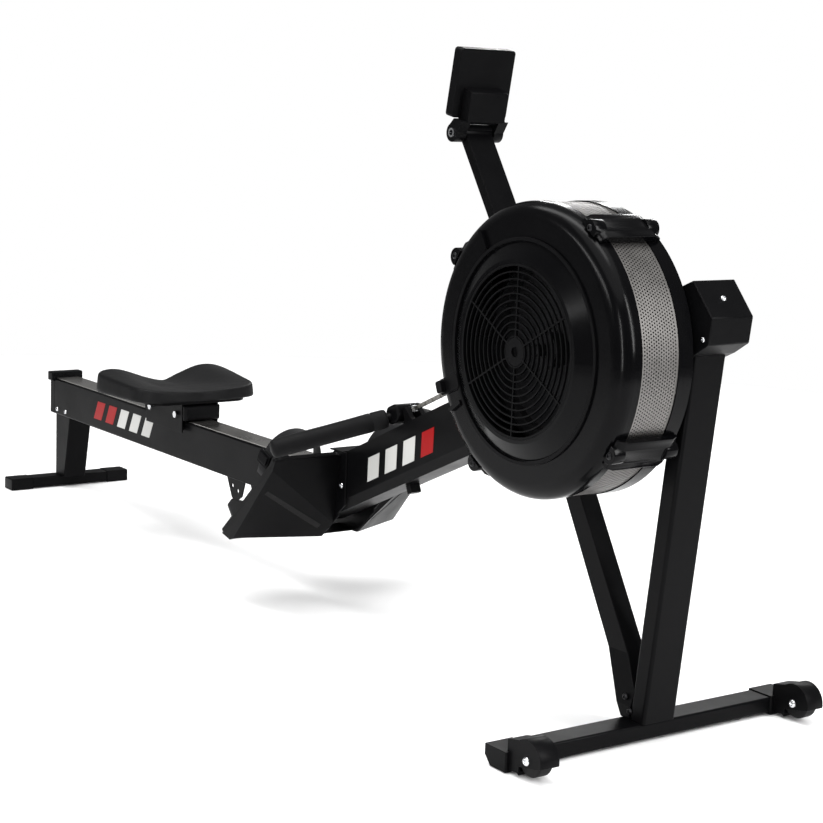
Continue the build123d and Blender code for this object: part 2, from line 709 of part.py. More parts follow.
with BuildPart() as beam_pins:
    x, z = on_beam(idler_s, idler_t)
    y_cylinder(x, z, -BEAM_HALF + BEAM_WALL, BEAM_HALF - BEAM_WALL, 5)
    x, z = on_beam(anchor_s + 9, -30)
    y_cylinder(x, z, -BEAM_HALF + BEAM_WALL, BEAM_HALF - BEAM_WALL, 4)
    with BuildSketch(xz_at(0)):
        outline([on_beam(anchor_s, cord_t + 5), on_beam(anchor_s + 18, cord_t + 5),
                 on_beam(anchor_s + 18, -50), on_beam(anchor_s, -50)])
    extrude(amount=6, both=True)

with BuildPart() as sprocket_cover:
    with BuildSketch(xz_at(0)):
        outline([on_beam(axle_s - 96, 0), on_beam(axle_s + 88, 0), on_beam(axle_s + 70, 30),
                 on_beam(axle_s + 34, 50), on_beam(axle_s - 40, 50), on_beam(axle_s - 96, 40)])
    extrude(amount=17, both=True)
    with BuildSketch(xz_at(0)):
        outline([on_beam(axle_s - 99, -1), on_beam(axle_s + 84, -1), on_beam(axle_s + 68, 28),
                 on_beam(axle_s + 32, 47), on_beam(axle_s - 40, 47), on_beam(axle_s - 99, 37)])
    extrude(amount=14.5, both=True, mode=Mode.SUBTRACT)

# ---- handle ----
handle_at = Vector(HANDLE_X, 0, HANDLE_Z)
end = Vector(*HANDLE_END)
arm_start = 0.14
with BuildPart() as handle_bar:
    with BuildSketch(xz_at(0)):
        with Locations(Location((HANDLE_X, HANDLE_Z), BEAM_ANGLE)):
            RectangleRounded(38, 34, 12)
    extrude(amount=30, both=True)
    fillet(edges().filter_by(GeomType.LINE).filter_by(
        lambda e: abs(e.tangent_at(0.5).Y) < 0.1), 4)
    for side in (-1, 1):
        tip = Vector(end.X, side * end.Y, end.Z)
        with BuildSketch(Plane(origin=handle_at + tip * 0.1, z_dir=tip)):
            Circle(10)
        extrude(amount=tip.length * 0.885)


with BuildPart() as hand_grips:
    for side in (-1, 1):
        tip = Vector(end.X, side * end.Y, end.Z)
        with BuildSketch(Plane(origin=handle_at + tip * arm_start, z_dir=tip)):
            Circle(18)
        extrude(amount=tip.length * (1 - arm_start))
    round_ends = edges().filter_by(GeomType.CIRCLE).sort_by(Axis.Y)
    fillet([round_ends[0], round_ends[-1]], 14)
    add(handle_bar.part, mode=Mode.SUBTRACT)

with BuildPart() as chain_clevis:
    with BuildSketch(xz_at(0)):
        run_between(handle_s + 19, handle_s + 33, chain_t, 7)
    extrude(amount=6, both=True)
    fillet(edges().filter_by(Axis.Y), 3)

# ---- seat ----
with BuildPart() as seat_cushion:
    with BuildSketch(Plane.XY.offset(318)):
        with BuildLine():
            Polyline((SEAT_X + 98, 0), (SEAT_X + 104, 60), (SEAT_X + 102, 132),
                     (SEAT_X + 86, 149), (SEAT_X - 94, 160), (SEAT_X - 117, 144),
                     (SEAT_X - 118, 54), (SEAT_X - 94, 0), (SEAT_X - 118, -54),
                     (SEAT_X - 117, -144), (SEAT_X - 94, -160), (SEAT_X + 86, -149),
                     (SEAT_X + 102, -132), (SEAT_X + 104, -60), close=True)
        make_face()
    extrude(amount=40)
    fillet(edges().filter_by(Axis.Z), 10)

CARRIAGE_TOP = 312.0
carriage_in = RAIL_HALF + 9
with BuildPart() as seat_carriage:
    with BuildSketch(Plane.YZ.offset(SEAT_X - 85)):
        outline([(-carriage_in - 3, 248), (-carriage_in, 248), (-carriage_in, CARRIAGE_TOP - 3),
                 (carriage_in, CARRIAGE_TOP - 3), (carriage_in, 248), (carriage_in + 3, 248),
                 (carriage_in + 3, CARRIAGE_TOP), (-carriage_in - 3, CARRIAGE_TOP)])
    extrude(amount=170)
    fillet(edges().filter_by(Axis.X).group_by(Axis.Z)[-1], 2.5)
    with BuildSketch(Plane.XY.offset(CARRIAGE_TOP)):
        with Locations((SEAT_X, 0)):
            RectangleRounded(190, 240, 40)
    extrude(amount=6)

roller_z = RAIL_TOP + STRIP + RUN + ROLLER_R
ROLLER_AT = (SEAT_X - 60, SEAT_X + 60)
with BuildPart() as seat_axles:
    for x in ROLLER_AT:
        y_cylinder(x, roller_z, -carriage_in - 8, carriage_in + 8, 4)
        for y_nut in (-carriage_in - 3, carriage_in + 9):
            with BuildSketch(xz_at(y_nut)):
                with Locations((x, roller_z)):
                    RegularPolygon(8, 6)
            extrude(amount=6)


def seat_rollers(x):
    """Pair of nylon rollers on one axle."""
    with BuildPart() as rollers:
        for side in (-1, 1):
            with BuildSketch(xz_at(side * 17)):
                with Locations((x, roller_z)):
                    Circle(ROLLER_R)
                    Circle(4 + RUN / 2, mode=Mode.SUBTRACT)
            extrude(amount=8, both=True)
    return rollers


with BuildPart() as seat_guides:
    for side in (-1, 1):
        with BuildSketch(xz_at(side * (RAIL_HALF + GAP + 4.35))):
            for x in (SEAT_X - 55, SEAT_X + 55):
                with Locations((x, 258)):
                    RectangleRounded(30, 16, 4)
        extrude(amount=4.35, both=True)

# ---- monitor and its arm ----
arm_dir = Vector(PIVOT_X - ARM_FOOT_X, 0, PIVOT_Z - ARM_FOOT_Z)
arm_len = arm_dir.length
arm_u = arm_dir.normalized()
arm_n = Vector(arm_u.Z, 0, -arm_u.X)


def on_arm(s, t):
    """Point in the X-Z plane, s up the arm from its fold axis and t in front of it."""
    p = Vector(ARM_FOOT_X, 0, ARM_FOOT_Z) + arm_u * s + arm_n * t
    return (p.X, p.Z)


with BuildPart() as monitor_arm:
    with BuildSketch(xz_at(0)):
        outline([on_arm(16, -9), on_arm(16, 9), on_arm(arm_len - 8, 9), on_arm(arm_len - 8, -9)])
    extrude(amount=27.5, both=True)
    with BuildSketch(xz_at(0)):
        outline([on_arm(30, -12), on_arm(30, 6), on_arm(arm_len - 40, 6),
                 on_arm(arm_len - 40, -12)])
    extrude(amount=24, both=True, mode=Mode.SUBTRACT)
    y_cylinder(ARM_FOOT_X, ARM_FOOT_Z, -18, 18, 12)
    with BuildSketch(xz_at(0)):
        outline([on_arm(0, -9), on_arm(0, 9), on_arm(20, 9), on_arm(20, -9)])
    extrude(amount=18, both=True)
    y_cylinder(PIVOT_X, PIVOT_Z, -29, 29, 11.5)
    with BuildSketch(xz_at(40)):
        with Locations((ARM_FOOT_X, ARM_FOOT_Z), (PIVOT_X, PIVOT_Z)):
            Circle(8 + RUN / 2)
    extrude(amount=80, mode=Mode.SUBTRACT)

with BuildPart() as arm_bracket:
    arm_base_s = beam_s(ARM_FOOT_X)
    for side in (-1, 1):
        with BuildSketch(xz_at(side * 21)):
            outline([on_beam(arm_base_s - 34, 0), on_beam(arm_base_s + 34, 0),
                     (ARM_FOOT_X + 12, ARM_FOOT_Z), (ARM_FOOT_X, ARM_FOOT_Z + 12),
                     (ARM_FOOT_X - 12, ARM_FOOT_Z)])
            with Locations((ARM_FOOT_X, ARM_FOOT_Z)):
                Circle(8 + RUN / 2, mode=Mode.SUBTRACT)
        extrude(amount=2, both=True)

with BuildPart() as arm_pins:
    y_cylinder(ARM_FOOT_X, ARM_FOOT_Z, -26, 26, 8)
    y_cylinder(ARM_FOOT_X, ARM_FOOT_Z, -31, -23.5, 12)
    y_cylinder(ARM_FOOT_X, ARM_FOOT_Z, 23.5, 31, 12)
    y_cylinder(PIVOT_X, PIVOT_Z, -52, 52, 8)
    with BuildSketch(xz_at(60)):
        with Locations((PIVOT_X, PIVOT_Z)):
            Circle(5)
    extrude(amount=120, mode=Mode.SUBTRACT)

TILT = math.radians(10.6)
face_x = 539.0            # lower edge of the monitor's back face
face_z = 961.0


def on_screen(u, h):
    """Point in the X-Z plane, u up the monitor's back face and h out of its back."""
    return (
        face_x + u * math.sin(TILT) + h * math.cos(TILT),
        face_z + u * math.cos(TILT) - h * math.sin(TILT),
    )


def screen_plane(u, h, forward):
    """Plane parallel to the monitor's face, facing the rower when forward is -1."""
    x, z = on_screen(u, h)
    return Plane(
        origin=(x, 0, z),
        x_dir=(0, 1, 0),
        z_dir=(forward * math.cos(TILT), 0, -forward * math.sin(TILT)),
    )


SCREEN_H = 119.0
SCREEN_HALF = 58.6
with BuildPart() as monitor_housing:
    with BuildSketch(screen_plane(SCREEN_H / 2, 0, -1)):
        RectangleRounded(2 * SCREEN_HALF, SCREEN_H, 6)
    extrude(amount=20)
    with BuildSketch(screen_plane(SCREEN_H / 2, -20, 1)):
        with Locations((0, -12)):
            Rectangle(92, 66)
    extrude(amount=2, mode=Mode.SUBTRACT)
    with BuildSketch(screen_plane(SCREEN_H / 2, -20, 1)):
        with Locations((0, 38)):
            with GridLocations(40, 0, 2, 1):
                Rectangle(26.4, 10.4)
    extrude(amount=6, mode=Mode.SUBTRACT)

with BuildPart() as monitor_screen:
    with BuildSketch(screen_plane(SCREEN_H / 2, -20, 1)):
        with Locations((0, -12)):
            Rectangle(92, 66)
    extrude(amount=1.8)


def monitor_button(index):
    with BuildPart() as button:
        with BuildSketch(screen_plane(SCREEN_H / 2, -22, 1)):
            with Locations((40 * (index - 1.5), 38)):
                RectangleRounded(26, 10, 2)
        extrude(amount=6)
    return button


with BuildPart() as monitor_back_box:
    with BuildSketch(xz_at(0)):
        outline([on_screen(52, 0), on_screen(48, 21), on_screen(-3, 22), on_screen(-9, 8),
                 on_screen(-9, 0), on_screen(-3, -6), on_screen(-0.3, -6), on_screen(-0.3, 0)])
    extrude(amount=40, both=True)
    fillet(edges().filter_by(Axis.Y).group_by(Axis.Z)[-2], 2)
    for side in (-1, 1):
        with BuildSketch(xz_at(side * 40)):
            with Locations((PIVOT_X, PIVOT_Z)):
                Circle(16)
            outline([(PIVOT_X - 14, PIVOT_Z + 8), on_screen(-2, -5), on_screen(-2, 20),
                     (PIVOT_X + 15.5, PIVOT_Z)])
        extrude(amount=10, both=True)
    with BuildSketch(xz_at(60)):
        with Locations((PIVOT_X, PIVOT_Z)):
            Circle(8 + RUN / 2)
    extrude(amount=120, mode=Mode.SUBTRACT)
    y_low = 29.5
    with BuildSketch(xz_at(y_low)):
        with Locations((PIVOT_X, PIVOT_Z)):
            Circle(13)
    extrude(amount=2 * y_low, mode=Mode.SUBTRACT)
    with BuildSketch(screen_plane(SCREEN_H / 2, 0, -1)):
        RectangleRounded(2 * SCREEN_HALF, SCREEN_H, 6)
    extrude(amount=20, mode=Mode.SUBTRACT)

# ---- bolts and screws of the frame and casing, one group ----
def round_head(plane, height, radius):
    """Low domed head standing on a plane."""
    with BuildPart(plane, mode=Mode.PRIVATE) as head:
        Cylinder(radius, height, align=(Align.CENTER, Align.CENTER, Align.MIN))
        along = Axis(plane.origin, plane.z_dir)
        fillet(edges().filter_by(GeomType.CIRCLE).sort_by(along)[-1:], height * 0.45)
    return head.part


def y_heads(x, z, half, radius=5.5, height=3.5):
    """Pair of bolt heads on the two side faces of a piece."""
    return [
        round_head(Plane(origin=(x, side * half, z), z_dir=(0, side, 0)), height, radius)
        for side in (-1, 1)
    ]


bolt_heads = y_heads(1046, 45, 34) + y_heads(1034, 66, 34)
bolt_heads += y_heads(-1060, 196, RAIL_HALF) + y_heads(-1108, 196, RAIL_HALF)
bolt_heads += y_heads(208, 252, BEAM_HALF + 3)
bolt_heads += y_heads(1167, 654, BEAM_HALF + 2.5, 4, 2.5)
cap_top = Vector(*on_beam(0, 2.5))
cap_nose = Vector(*CAP_NOSE)
cap_mid = (cap_top + cap_nose) * 0.5
slant = (cap_nose - cap_top).normalized()
bolt_heads.append(round_head(
    Plane(origin=(cap_mid.X, 0, cap_mid.Y), z_dir=(-slant.Y, 0, slant.X)), 3, 5))
for angle in CLAMP_ANGLES:
    a = math.radians(angle)
    out = (math.cos(a), 0, math.sin(a))
    lobe_at = (AXLE_X + (CASE_R + 7) * out[0], LOBE_NEAR, AXLE_Z + (CASE_R + 7) * out[2])
    bolt_heads.append(round_head(Plane(origin=lobe_at, z_dir=(0, -1, 0)), 2.5, 5.5))
with BuildPart() as frame_bolts:
    for head in bolt_heads:
        add(head)
    for side in (-1, 1):
        add(caster_bolt(side).part)

pieces = {
    "main_beam": main_beam,
    "beam_front_cap": beam_front_cap,
    "front_leg": front_leg,
    "rear_strut": rear_strut,
    "front_crossbar": front_crossbar,
    "front_end_caps": front_end_caps,
    "front_foot_pads": front_foot_pads,
    "frame_bolts": frame_bolts,
    "seat_rail": seat_rail,
    "rail_strip": rail_strip,
    "rail_end_stop": rail_end_stop,
    "rear_leg": rear_leg,
    "rear_foot_bar": rear_foot_bar,
    "rear_foot_caps": rear_foot_caps,
    "rail_hook_bracket": rail_hook_bracket,
    "foot_saddle": foot_saddle,
    "foot_shrouds": foot_shrouds,
    "foot_boards": foot_boards,
    "foot_straps": foot_straps,
    "handle_hook": handle_hook,
    "casing_near_shell": casing_near_shell,
    "casing_far_shell": casing_far_shell,
    "casing_mesh_band": casing_mesh_band,
    "casing_clamps": casing_clamps,
    "intake_grille": intake_grille,
    "damper_ring": damper_ring,
    "flywheel_axle": flywheel_axle,
    "axle_bearings": axle_bearings,
    "bearing_cap": bearing_cap,
    "flywheel_disc": flywheel_disc,
    "fan_blades": fan_blades,
    "drive_sprocket": drive_sprocket,
    "sprocket_cover": sprocket_cover,
    "drive_chain": drive_chain,
    "return_pulley": return_pulley,
    "return_block": return_block,
    "cord_idler": cord_idler,
    "beam_pins": beam_pins,
    "elastic_cord": elastic_cord,
    "handle_bar": handle_bar,
    "hand_grips": hand_grips,
    "chain_clevis": chain_clevis,
    "seat_cushion": seat_cushion,
    "seat_carriage": seat_carriage,
    "seat_axles": seat_axles,
    "seat_guides": seat_guides,
    "seat_rollers_front": seat_rollers(ROLLER_AT[1]),
    "seat_rollers_rear": seat_rollers(ROLLER_AT[0]),
    "monitor_arm": monitor_arm,
    "arm_bracket": arm_bracket,
    "arm_pins": arm_pins,
    "monitor_housing": monitor_housing,
    "monitor_screen": monitor_screen,
    "monitor_back_box": monitor_back_box,
}
for name, side in (("right", -1), ("left", 1)):
    pieces["transport_wheel_" + name] = caster_wheel(side)
    pieces["heel_rest_" + name] = heel_rest(side)
for number in (1, 2):
    pieces["monitor_button_" + str(number)] = monitor_button(number)

for name, piece in pieces.items():
    piece.part.locate(Location((-MIDDLE_X, 0, 0)))
    piece.part.label = name
    export_step(piece.part, f"parts/{name}.step")
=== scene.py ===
"""Looks of the air rowing machine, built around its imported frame. Metres, +X towards the flywheel,
+Y to the rower's left, +Z up."""
import math

import bmesh
import bpy
from mathutils import Matrix, Vector, noise
from mathutils.bvhtree import BVHTree


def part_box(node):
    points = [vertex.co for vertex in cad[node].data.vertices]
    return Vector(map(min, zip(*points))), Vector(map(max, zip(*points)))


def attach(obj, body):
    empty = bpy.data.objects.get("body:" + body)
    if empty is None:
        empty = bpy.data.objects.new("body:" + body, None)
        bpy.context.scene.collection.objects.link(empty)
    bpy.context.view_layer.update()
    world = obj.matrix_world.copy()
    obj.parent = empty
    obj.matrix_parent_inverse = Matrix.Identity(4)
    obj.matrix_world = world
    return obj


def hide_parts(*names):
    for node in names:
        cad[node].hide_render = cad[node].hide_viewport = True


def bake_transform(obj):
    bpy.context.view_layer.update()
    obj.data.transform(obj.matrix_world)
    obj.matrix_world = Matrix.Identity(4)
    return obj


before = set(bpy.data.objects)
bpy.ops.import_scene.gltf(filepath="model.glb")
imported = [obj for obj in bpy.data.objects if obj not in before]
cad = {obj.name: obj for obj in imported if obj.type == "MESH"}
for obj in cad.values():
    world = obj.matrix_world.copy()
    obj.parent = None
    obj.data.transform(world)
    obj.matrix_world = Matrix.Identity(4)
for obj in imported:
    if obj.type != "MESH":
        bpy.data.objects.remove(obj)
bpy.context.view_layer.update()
scene = bpy.context.scene

MM = 0.001
MIDDLE_X = 17.4                     # the part is drawn about the heel edge of the foot boards
BEAM_ANGLE = math.radians(24.35)
BEAM_TOP = (1139.5, 737.0)          # upper front corner of the main beam
BEAM_HALF, RAIL_HALF = 40.0, 33.0   # half widths of the main beam and the seat rail
AXLE = (931.0, 613.0)               # flywheel axle, along Y
CASE_R = 231.0                      # outer radius of the flywheel casing
BAND = (-155.0, -82.0)              # sides of the perforated band, along Y
SPROCKET_TEETH = 28
CHAIN_PITCH = 12.7
HANDLE_MID = (350.0, 412.1)
HANDLE_TIP = Vector((-87.0, 237.0, -66.0))          # from the handle's middle to the end of its left arm
GRIP_FROM = 0.14                    # share of the arm where the foam starts
HEEL_Z, TOE_X, TOE_Z = 133.0, 202.0, 318.0
BOARD_ANGLE = math.atan2(TOE_Z - HEEL_Z, TOE_X)
BOARD_MID = 118.0
SEAT_X = -520.0
PIVOT = (529.7, 935.4)              # the monitor's tilt axis
DEG = math.pi / 180


def at(x, y, z):
    """A point given in the drawing's millimetres, in the scene's metres."""
    return Vector(((x - MIDDLE_X) * MM, y * MM, z * MM))


def on_beam(s, t, y=0.0):
    """s along the beam from its top corner, t above its top face, in millimetres."""
    return at(
        BEAM_TOP[0] + s * math.cos(BEAM_ANGLE) - t * math.sin(BEAM_ANGLE),
        y,
        BEAM_TOP[1] + s * math.sin(BEAM_ANGLE) + t * math.cos(BEAM_ANGLE),
    )


def beam_s(x):
    return (x - BEAM_TOP[0]) / math.cos(BEAM_ANGLE)


def on_board(u, h, y):
    """u up the foot board from the heel, h above its face, in millimetres."""
    return at(
        u * math.cos(BOARD_ANGLE) - h * math.sin(BOARD_ANGLE),
        y,
        HEEL_Z + u * math.sin(BOARD_ANGLE) + h * math.cos(BOARD_ANGLE),
    )


# ---------------------------------------------------------------- camera and light
LENS, SENSOR = 82.06, 36.0
YAW, PITCH, ROLL = 144.59 * DEG, -9.39 * DEG, 2.15 * DEG
CAMERA_AT = (3166.3, -1987.6, 986.3)
look = Vector((math.cos(YAW) * math.cos(PITCH), math.sin(YAW) * math.cos(PITCH), math.sin(PITCH)))
sideways = look.cross(Vector((0, 0, 1))).normalized()
upright = sideways.cross(look)
right = sideways * math.cos(ROLL) + upright * math.sin(ROLL)
up = upright * math.cos(ROLL) - sideways * math.sin(ROLL)
lens = bpy.data.cameras.new("camera")
lens.lens, lens.sensor_width = LENS, SENSOR
lens.clip_end = 50
camera = bpy.data.objects.new("camera", lens)
scene.collection.objects.link(camera)
turn = Matrix((right, up, -look)).transposed().to_4x4()
camera.matrix_world = Matrix.Translation(at(*CAMERA_AT)) @ turn
scene.camera = camera


def hexed(code):
    """sRGB hex to linear red, green, blue and alpha."""
    parts = [int(code[i:i + 2], 16) / 255 for i in (0, 2, 4)]
    return [c / 12.92 if c <= 0.04045 else ((c + 0.055) / 1.055) ** 2.4 for c in parts] + [1.0]


def add(tree, kind, inputs=None, **settings):
    """A node with its settings; inputs maps a socket to a value or to another node's output."""
    made = tree.nodes.new(kind)
    for key, value in settings.items():
        setattr(made, key, value)
    for key, value in (inputs or {}).items():
        if isinstance(value, bpy.types.NodeSocket):
            tree.links.new(value, made.inputs[key])
        else:
            made.inputs[key].default_value = value
    return made


def area_light(name, place, aim, size, power):
    """A white rectangular light; place, aim and size in metres, power in watts."""
    lamp = bpy.data.lights.new(name, "AREA")
    lamp.shape, lamp.size, lamp.size_y = "RECTANGLE", size[0], size[1]
    lamp.energy = power
    holder = bpy.data.objects.new(name, lamp)
    scene.collection.objects.link(holder)
    holder.location = place
    holder.rotation_euler = (Vector(aim) - Vector(place)).to_track_quat("-Z", "Y").to_euler()


world = bpy.data.worlds.new("studio")
scene.world = world
world.use_nodes = True
background = world.node_tree.nodes["Background"]
background.inputs["Color"].default_value = hexed("ffffff")
# The room is seen white, but lights and reflects far less, or black parts would look grey.
seen = add(world.node_tree, "ShaderNodeLightPath").outputs["Is Camera Ray"]
level_out = add(world.node_tree, "ShaderNodeMapRange", {"Value": seen, "To Min": 0.22, "To Max": 1.0})
world.node_tree.links.new(level_out.outputs["Result"], background.inputs["Strength"])
scene.view_settings.view_transform = "Standard"
area_light("overhead", (0.2, -0.5, 3.0), (0.1, -0.1, 0.3), (3.6, 0.6), 60)
area_light("front_key", (3.4, 0.9, 1.7), (0.9, 0, 0.5), (0.4, 1.8), 60)
area_light("side_fill", (-0.2, -3.6, 1.9), (0.2, 0, 0.4), (2.6, 0.35), 50)
area_light("edge_strip", (3.6, -3.2, 1.2), (0.9, -0.2, 0.6), (0.25, 2.2), 60)
area_light("back_rim", (-1.6, 3.0, 2.2), (0.0, 0, 0.5), (2.4, 0.4), 55)
sun = bpy.data.lights.new("window_glow", "SUN")
sun.energy, sun.angle = 2.35, 80 * DEG
sun_holder = bpy.data.objects.new("window_glow", sun)
scene.collection.objects.link(sun_holder)
sun_holder.rotation_euler = (0.15, 0.2, 0)


# ---------------------------------------------------------------- materials
WAVES_PER_THREAD = 0.314                 # a wave texture at this scale has one band per unit


def finish(name, colour, other, rough, grain_mm, depth_mm, metallic=0.0, kind="noise",
           stretch=(1, 1, 1), patch_mm=60.0, sheen=0.0, coat=0.0, specular=0.5):
    """A solid finish: two close colours in soft patches, roughness that varies with them, and a
    surface grain of a real size. kind is the grain's pattern, stretch lengthens it along an axis."""
    made = bpy.data.materials.new(name)
    made.use_nodes = True
    tree = made.node_tree
    tree.nodes.clear()
    place = add(tree, "ShaderNodeTexCoord").outputs["Object"]
    stretched = add(tree, "ShaderNodeMapping", {"Vector": place, "Scale": stretch}).outputs["Vector"]
    patches = add(tree, "ShaderNodeTexNoise",
                  {"Vector": place, "Scale": 1 / (patch_mm * MM), "Detail": 4.0, "Roughness": 0.6})
    tone = add(tree, "ShaderNodeMix", {0: patches.outputs["Fac"], 6: hexed(colour), 7: hexed(other)},
               data_type="RGBA")
    gloss = add(tree, "ShaderNodeMapRange",
                {"Value": patches.outputs["Fac"], "From Min": 0.3, "From Max": 0.7,
                 "To Min": rough[0], "To Max": rough[1]})
    if kind == "cells":
        grain = add(tree, "ShaderNodeTexVoronoi", {"Vector": stretched, "Scale": 1 / (grain_mm * MM)},
                    feature="SMOOTH_F1").outputs["Distance"]
    elif kind == "weave":
        threads = {"Vector": stretched, "Scale": WAVES_PER_THREAD / (grain_mm * MM)}
        warp = add(tree, "ShaderNodeTexWave", threads, bands_direction="X").outputs["Fac"]
        weft = add(tree, "ShaderNodeTexWave", threads, bands_direction="Y").outputs["Fac"]
        grain = add(tree, "ShaderNodeMath", {0: warp, 1: weft}, operation="MULTIPLY").outputs[0]
    else:
        grain = add(tree, "ShaderNodeTexNoise",
                    {"Vector": stretched, "Scale": 1 / (grain_mm * MM), "Detail": 2.0}).outputs["Fac"]
    bump = add(tree, "ShaderNodeBump", {"Height": grain, "Strength": 0.6, "Distance": depth_mm * MM})
    shader = add(tree, "ShaderNodeBsdfPrincipled",
                 {"Base Color": tone.outputs[2], "Roughness": gloss.outputs["Result"],
                  "Metallic": metallic, "Normal": bump.outputs["Normal"], "Sheen Weight": sheen,
                  "Coat Weight": coat, "Specular IOR Level": specular})
    add(tree, "ShaderNodeOutputMaterial", {"Surface": shader.outputs["BSDF"]})
    return made


# Powder coat: baked polyester, a fine orange peel that breaks the highlight into a soft sheen.
powder = finish("powder-coated steel", "060607", "09090a", (0.3, 0.4), 1.6, 0.05, specular=0.05)
# ABS moulded in a polished tool: deep black with long clean highlights.
gloss_abs = finish("polished ABS", "040405", "070708", (0.16, 0.24), 9, 0.03, patch_mm=120,
                   specular=0.075)
# ABS moulded in a spark-eroded tool: an even, slightly grey satin.
satin_abs = finish("textured ABS", "070708", "0b0b0c", (0.34, 0.44), 0.9, 0.07, specular=0.05)
# Natural rubber, compression moulded: dull, with a dusty bloom in patches.
rubber = finish("moulded rubber", "09090a", "101010", (0.5, 0.65), 1.2, 0.08, patch_mm=25,
                specular=0.15)
# Closed-cell foam tube: matt skin with small open cells.
foam = finish("nitrile foam", "09090a", "0e0e0f", (0.55, 0.7), 1.5, 0.12, kind="cells", sheen=0.01,
              specular=0.1)
# Integral-skin polyurethane: pebbled like leather, soft edges to its highlights.
seat_skin = finish("integral-skin polyurethane", "09090a", "0e0e0f", (0.42, 0.55), 2.2, 0.12,
                   kind="cells", patch_mm=45, sheen=0.01, specular=0.12)
# Polyester webbing, 1.4 mm ribs across its width.
webbing = finish("polyester webbing", "09090b", "0f0f11", (0.7, 0.8), 1.4, 0.35, kind="weave",
                 sheen=0.05, specular=0.15)
# Stainless strip, linished along its length: streaks hundreds of times longer than wide.
linished = finish("linished stainless steel", "9c9a97", "a8a6a3", (0.24, 0.34), 0.5, 0.015,
                  metallic=1.0, stretch=(0.01, 1, 1), patch_mm=90)
# Perforated sheet, zinc plated: soft grey metal.
plated_sheet = finish("zinc-plated sheet", "706e6c", "7a7876", (0.42, 0.5), 3, 0.02, metallic=1.0,
                      patch_mm=30)
# Bright zinc plate over a cold-headed screw: small sharp glints.
zinc = finish("bright zinc plate", "c9cacc", "dadbdd", (0.18, 0.28), 0.8, 0.01, metallic=1.0,
              patch_mm=8)
# Roller chain: nickel plate under a film of oil that darkens the gaps.
nickel = finish("oiled nickel plate", "6e6c68", "9b9994", (0.25, 0.4), 1.0, 0.02, metallic=1.0,
                patch_mm=6)
# Black oxide: a conversion coat that keeps some of the steel's shine.
black_oxide = finish("black oxide steel", "121214", "1a1a1c", (0.3, 0.4), 1.0, 0.02, metallic=0.6)
# Cast iron, turned on its faces: dark, with a soft gleam.
cast = finish("turned cast iron", "1c1c1d", "28282a", (0.4, 0.55), 0.7, 0.05, metallic=0.7)
# Aluminium sheet, pressed: mill finish, dulled by dust.
alloy = finish("pressed aluminium", "2c2c2e", "3a3a3c", (0.35, 0.5), 1.5, 0.03, metallic=1.0)
# Nylon, injection moulded and undyed: milky and even.
nylon = finish("moulded nylon", "b9b8b2", "c6c5be", (0.4, 0.5), 1.0, 0.02, patch_mm=20)
# The same with carbon black: smoother than the ABS beside it.
black_nylon = finish("black moulded nylon", "0c0c0d", "121213", (0.3, 0.42), 1.0, 0.02, patch_mm=20,
                     specular=0.2)
# Elastic cord in a braided polyester sleeve: fuzzy, with light flecks.
braid = finish("braided elastic cord", "101012", "2a2a2c", (0.75, 0.85), 1.0, 0.2, kind="weave",
               sheen=0.2)
# Liquid crystal display under clear acrylic: grey-green with a hard gloss on top.
window = finish("liquid crystal window", "39403a", "424a43", (0.12, 0.16), 8, 0.005, patch_mm=90,
                coat=0.5)
# Its driven segments: nearly black.
segment = finish("liquid crystal segment", "101411", "151a16", (0.3, 0.34), 2, 0.005)
# Calendered vinyl film, cut to shape: flat colour, semi-gloss.
white_vinyl = finish("white cut vinyl", "b4b4b1", "bdbdba", (0.3, 0.38), 2.5, 0.02, patch_mm=40)
red_vinyl = finish("red cut vinyl", "860508", "90070a", (0.35, 0.42), 2.5, 0.02, patch_mm=40,
                   specular=0.15)
# Matt painted board under the machine.
pale_floor = finish("pale studio floor", "f6f6f6", "fafafa", (0.6, 0.7), 40, 0.0001)

finishes = {
    powder: ["main_beam", "front_leg", "rear_strut", "front_crossbar", "seat_rail", "rear_leg",
             "rear_foot_bar", "rail_hook_bracket", "foot_saddle", "arm_bracket", "monitor_arm",
             "return_block", "seat_carriage", "handle_bar"],
    gloss_abs: ["casing_near_shell", "casing_far_shell", "casing_clamps"],
    satin_abs: ["beam_front_cap", "front_end_caps", "rail_end_stop", "rear_foot_caps",
                "foot_shrouds", "foot_boards", "handle_hook", "intake_grille", "damper_ring",
                "bearing_cap", "sprocket_cover", "monitor_housing", "monitor_back_box",
                "heel_rest_right", "heel_rest_left"],
    rubber: ["front_foot_pads", "transport_wheel_right", "transport_wheel_left",
             "monitor_button_1", "monitor_button_2"],
    linished: ["rail_strip"],
    black_oxide: ["flywheel_axle"],
    zinc: ["axle_bearings", "beam_pins", "chain_clevis", "seat_axles", "arm_pins"],
    nickel: ["drive_sprocket"],
    cast: ["flywheel_disc"],
    alloy: ["fan_blades"],
    nylon: ["return_pulley", "cord_idler"],
    black_nylon: ["seat_guides", "seat_rollers_front", "seat_rollers_rear"],
    braid: ["elastic_cord"],
    window: ["monitor_screen"],
}
for material, names in finishes.items():
    for name in names:
        cad[name].data.materials.clear()
        cad[name].data.materials.append(material)


# ---------------------------------------------------------------- making pieces
def piece(name, mesh, material, body, slot, *replaced):
    """A finished mesh as a piece that rides on a body and takes the place of CAD nodes."""
    mesh.name = name
    mesh.materials.clear()
    mesh.materials.append(material)
    made = bpy.data.objects.new(name, mesh)
    scene.collection.objects.link(made)
    if body:
        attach(made, body)
    if replaced:
        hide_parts(*replaced)
    return made


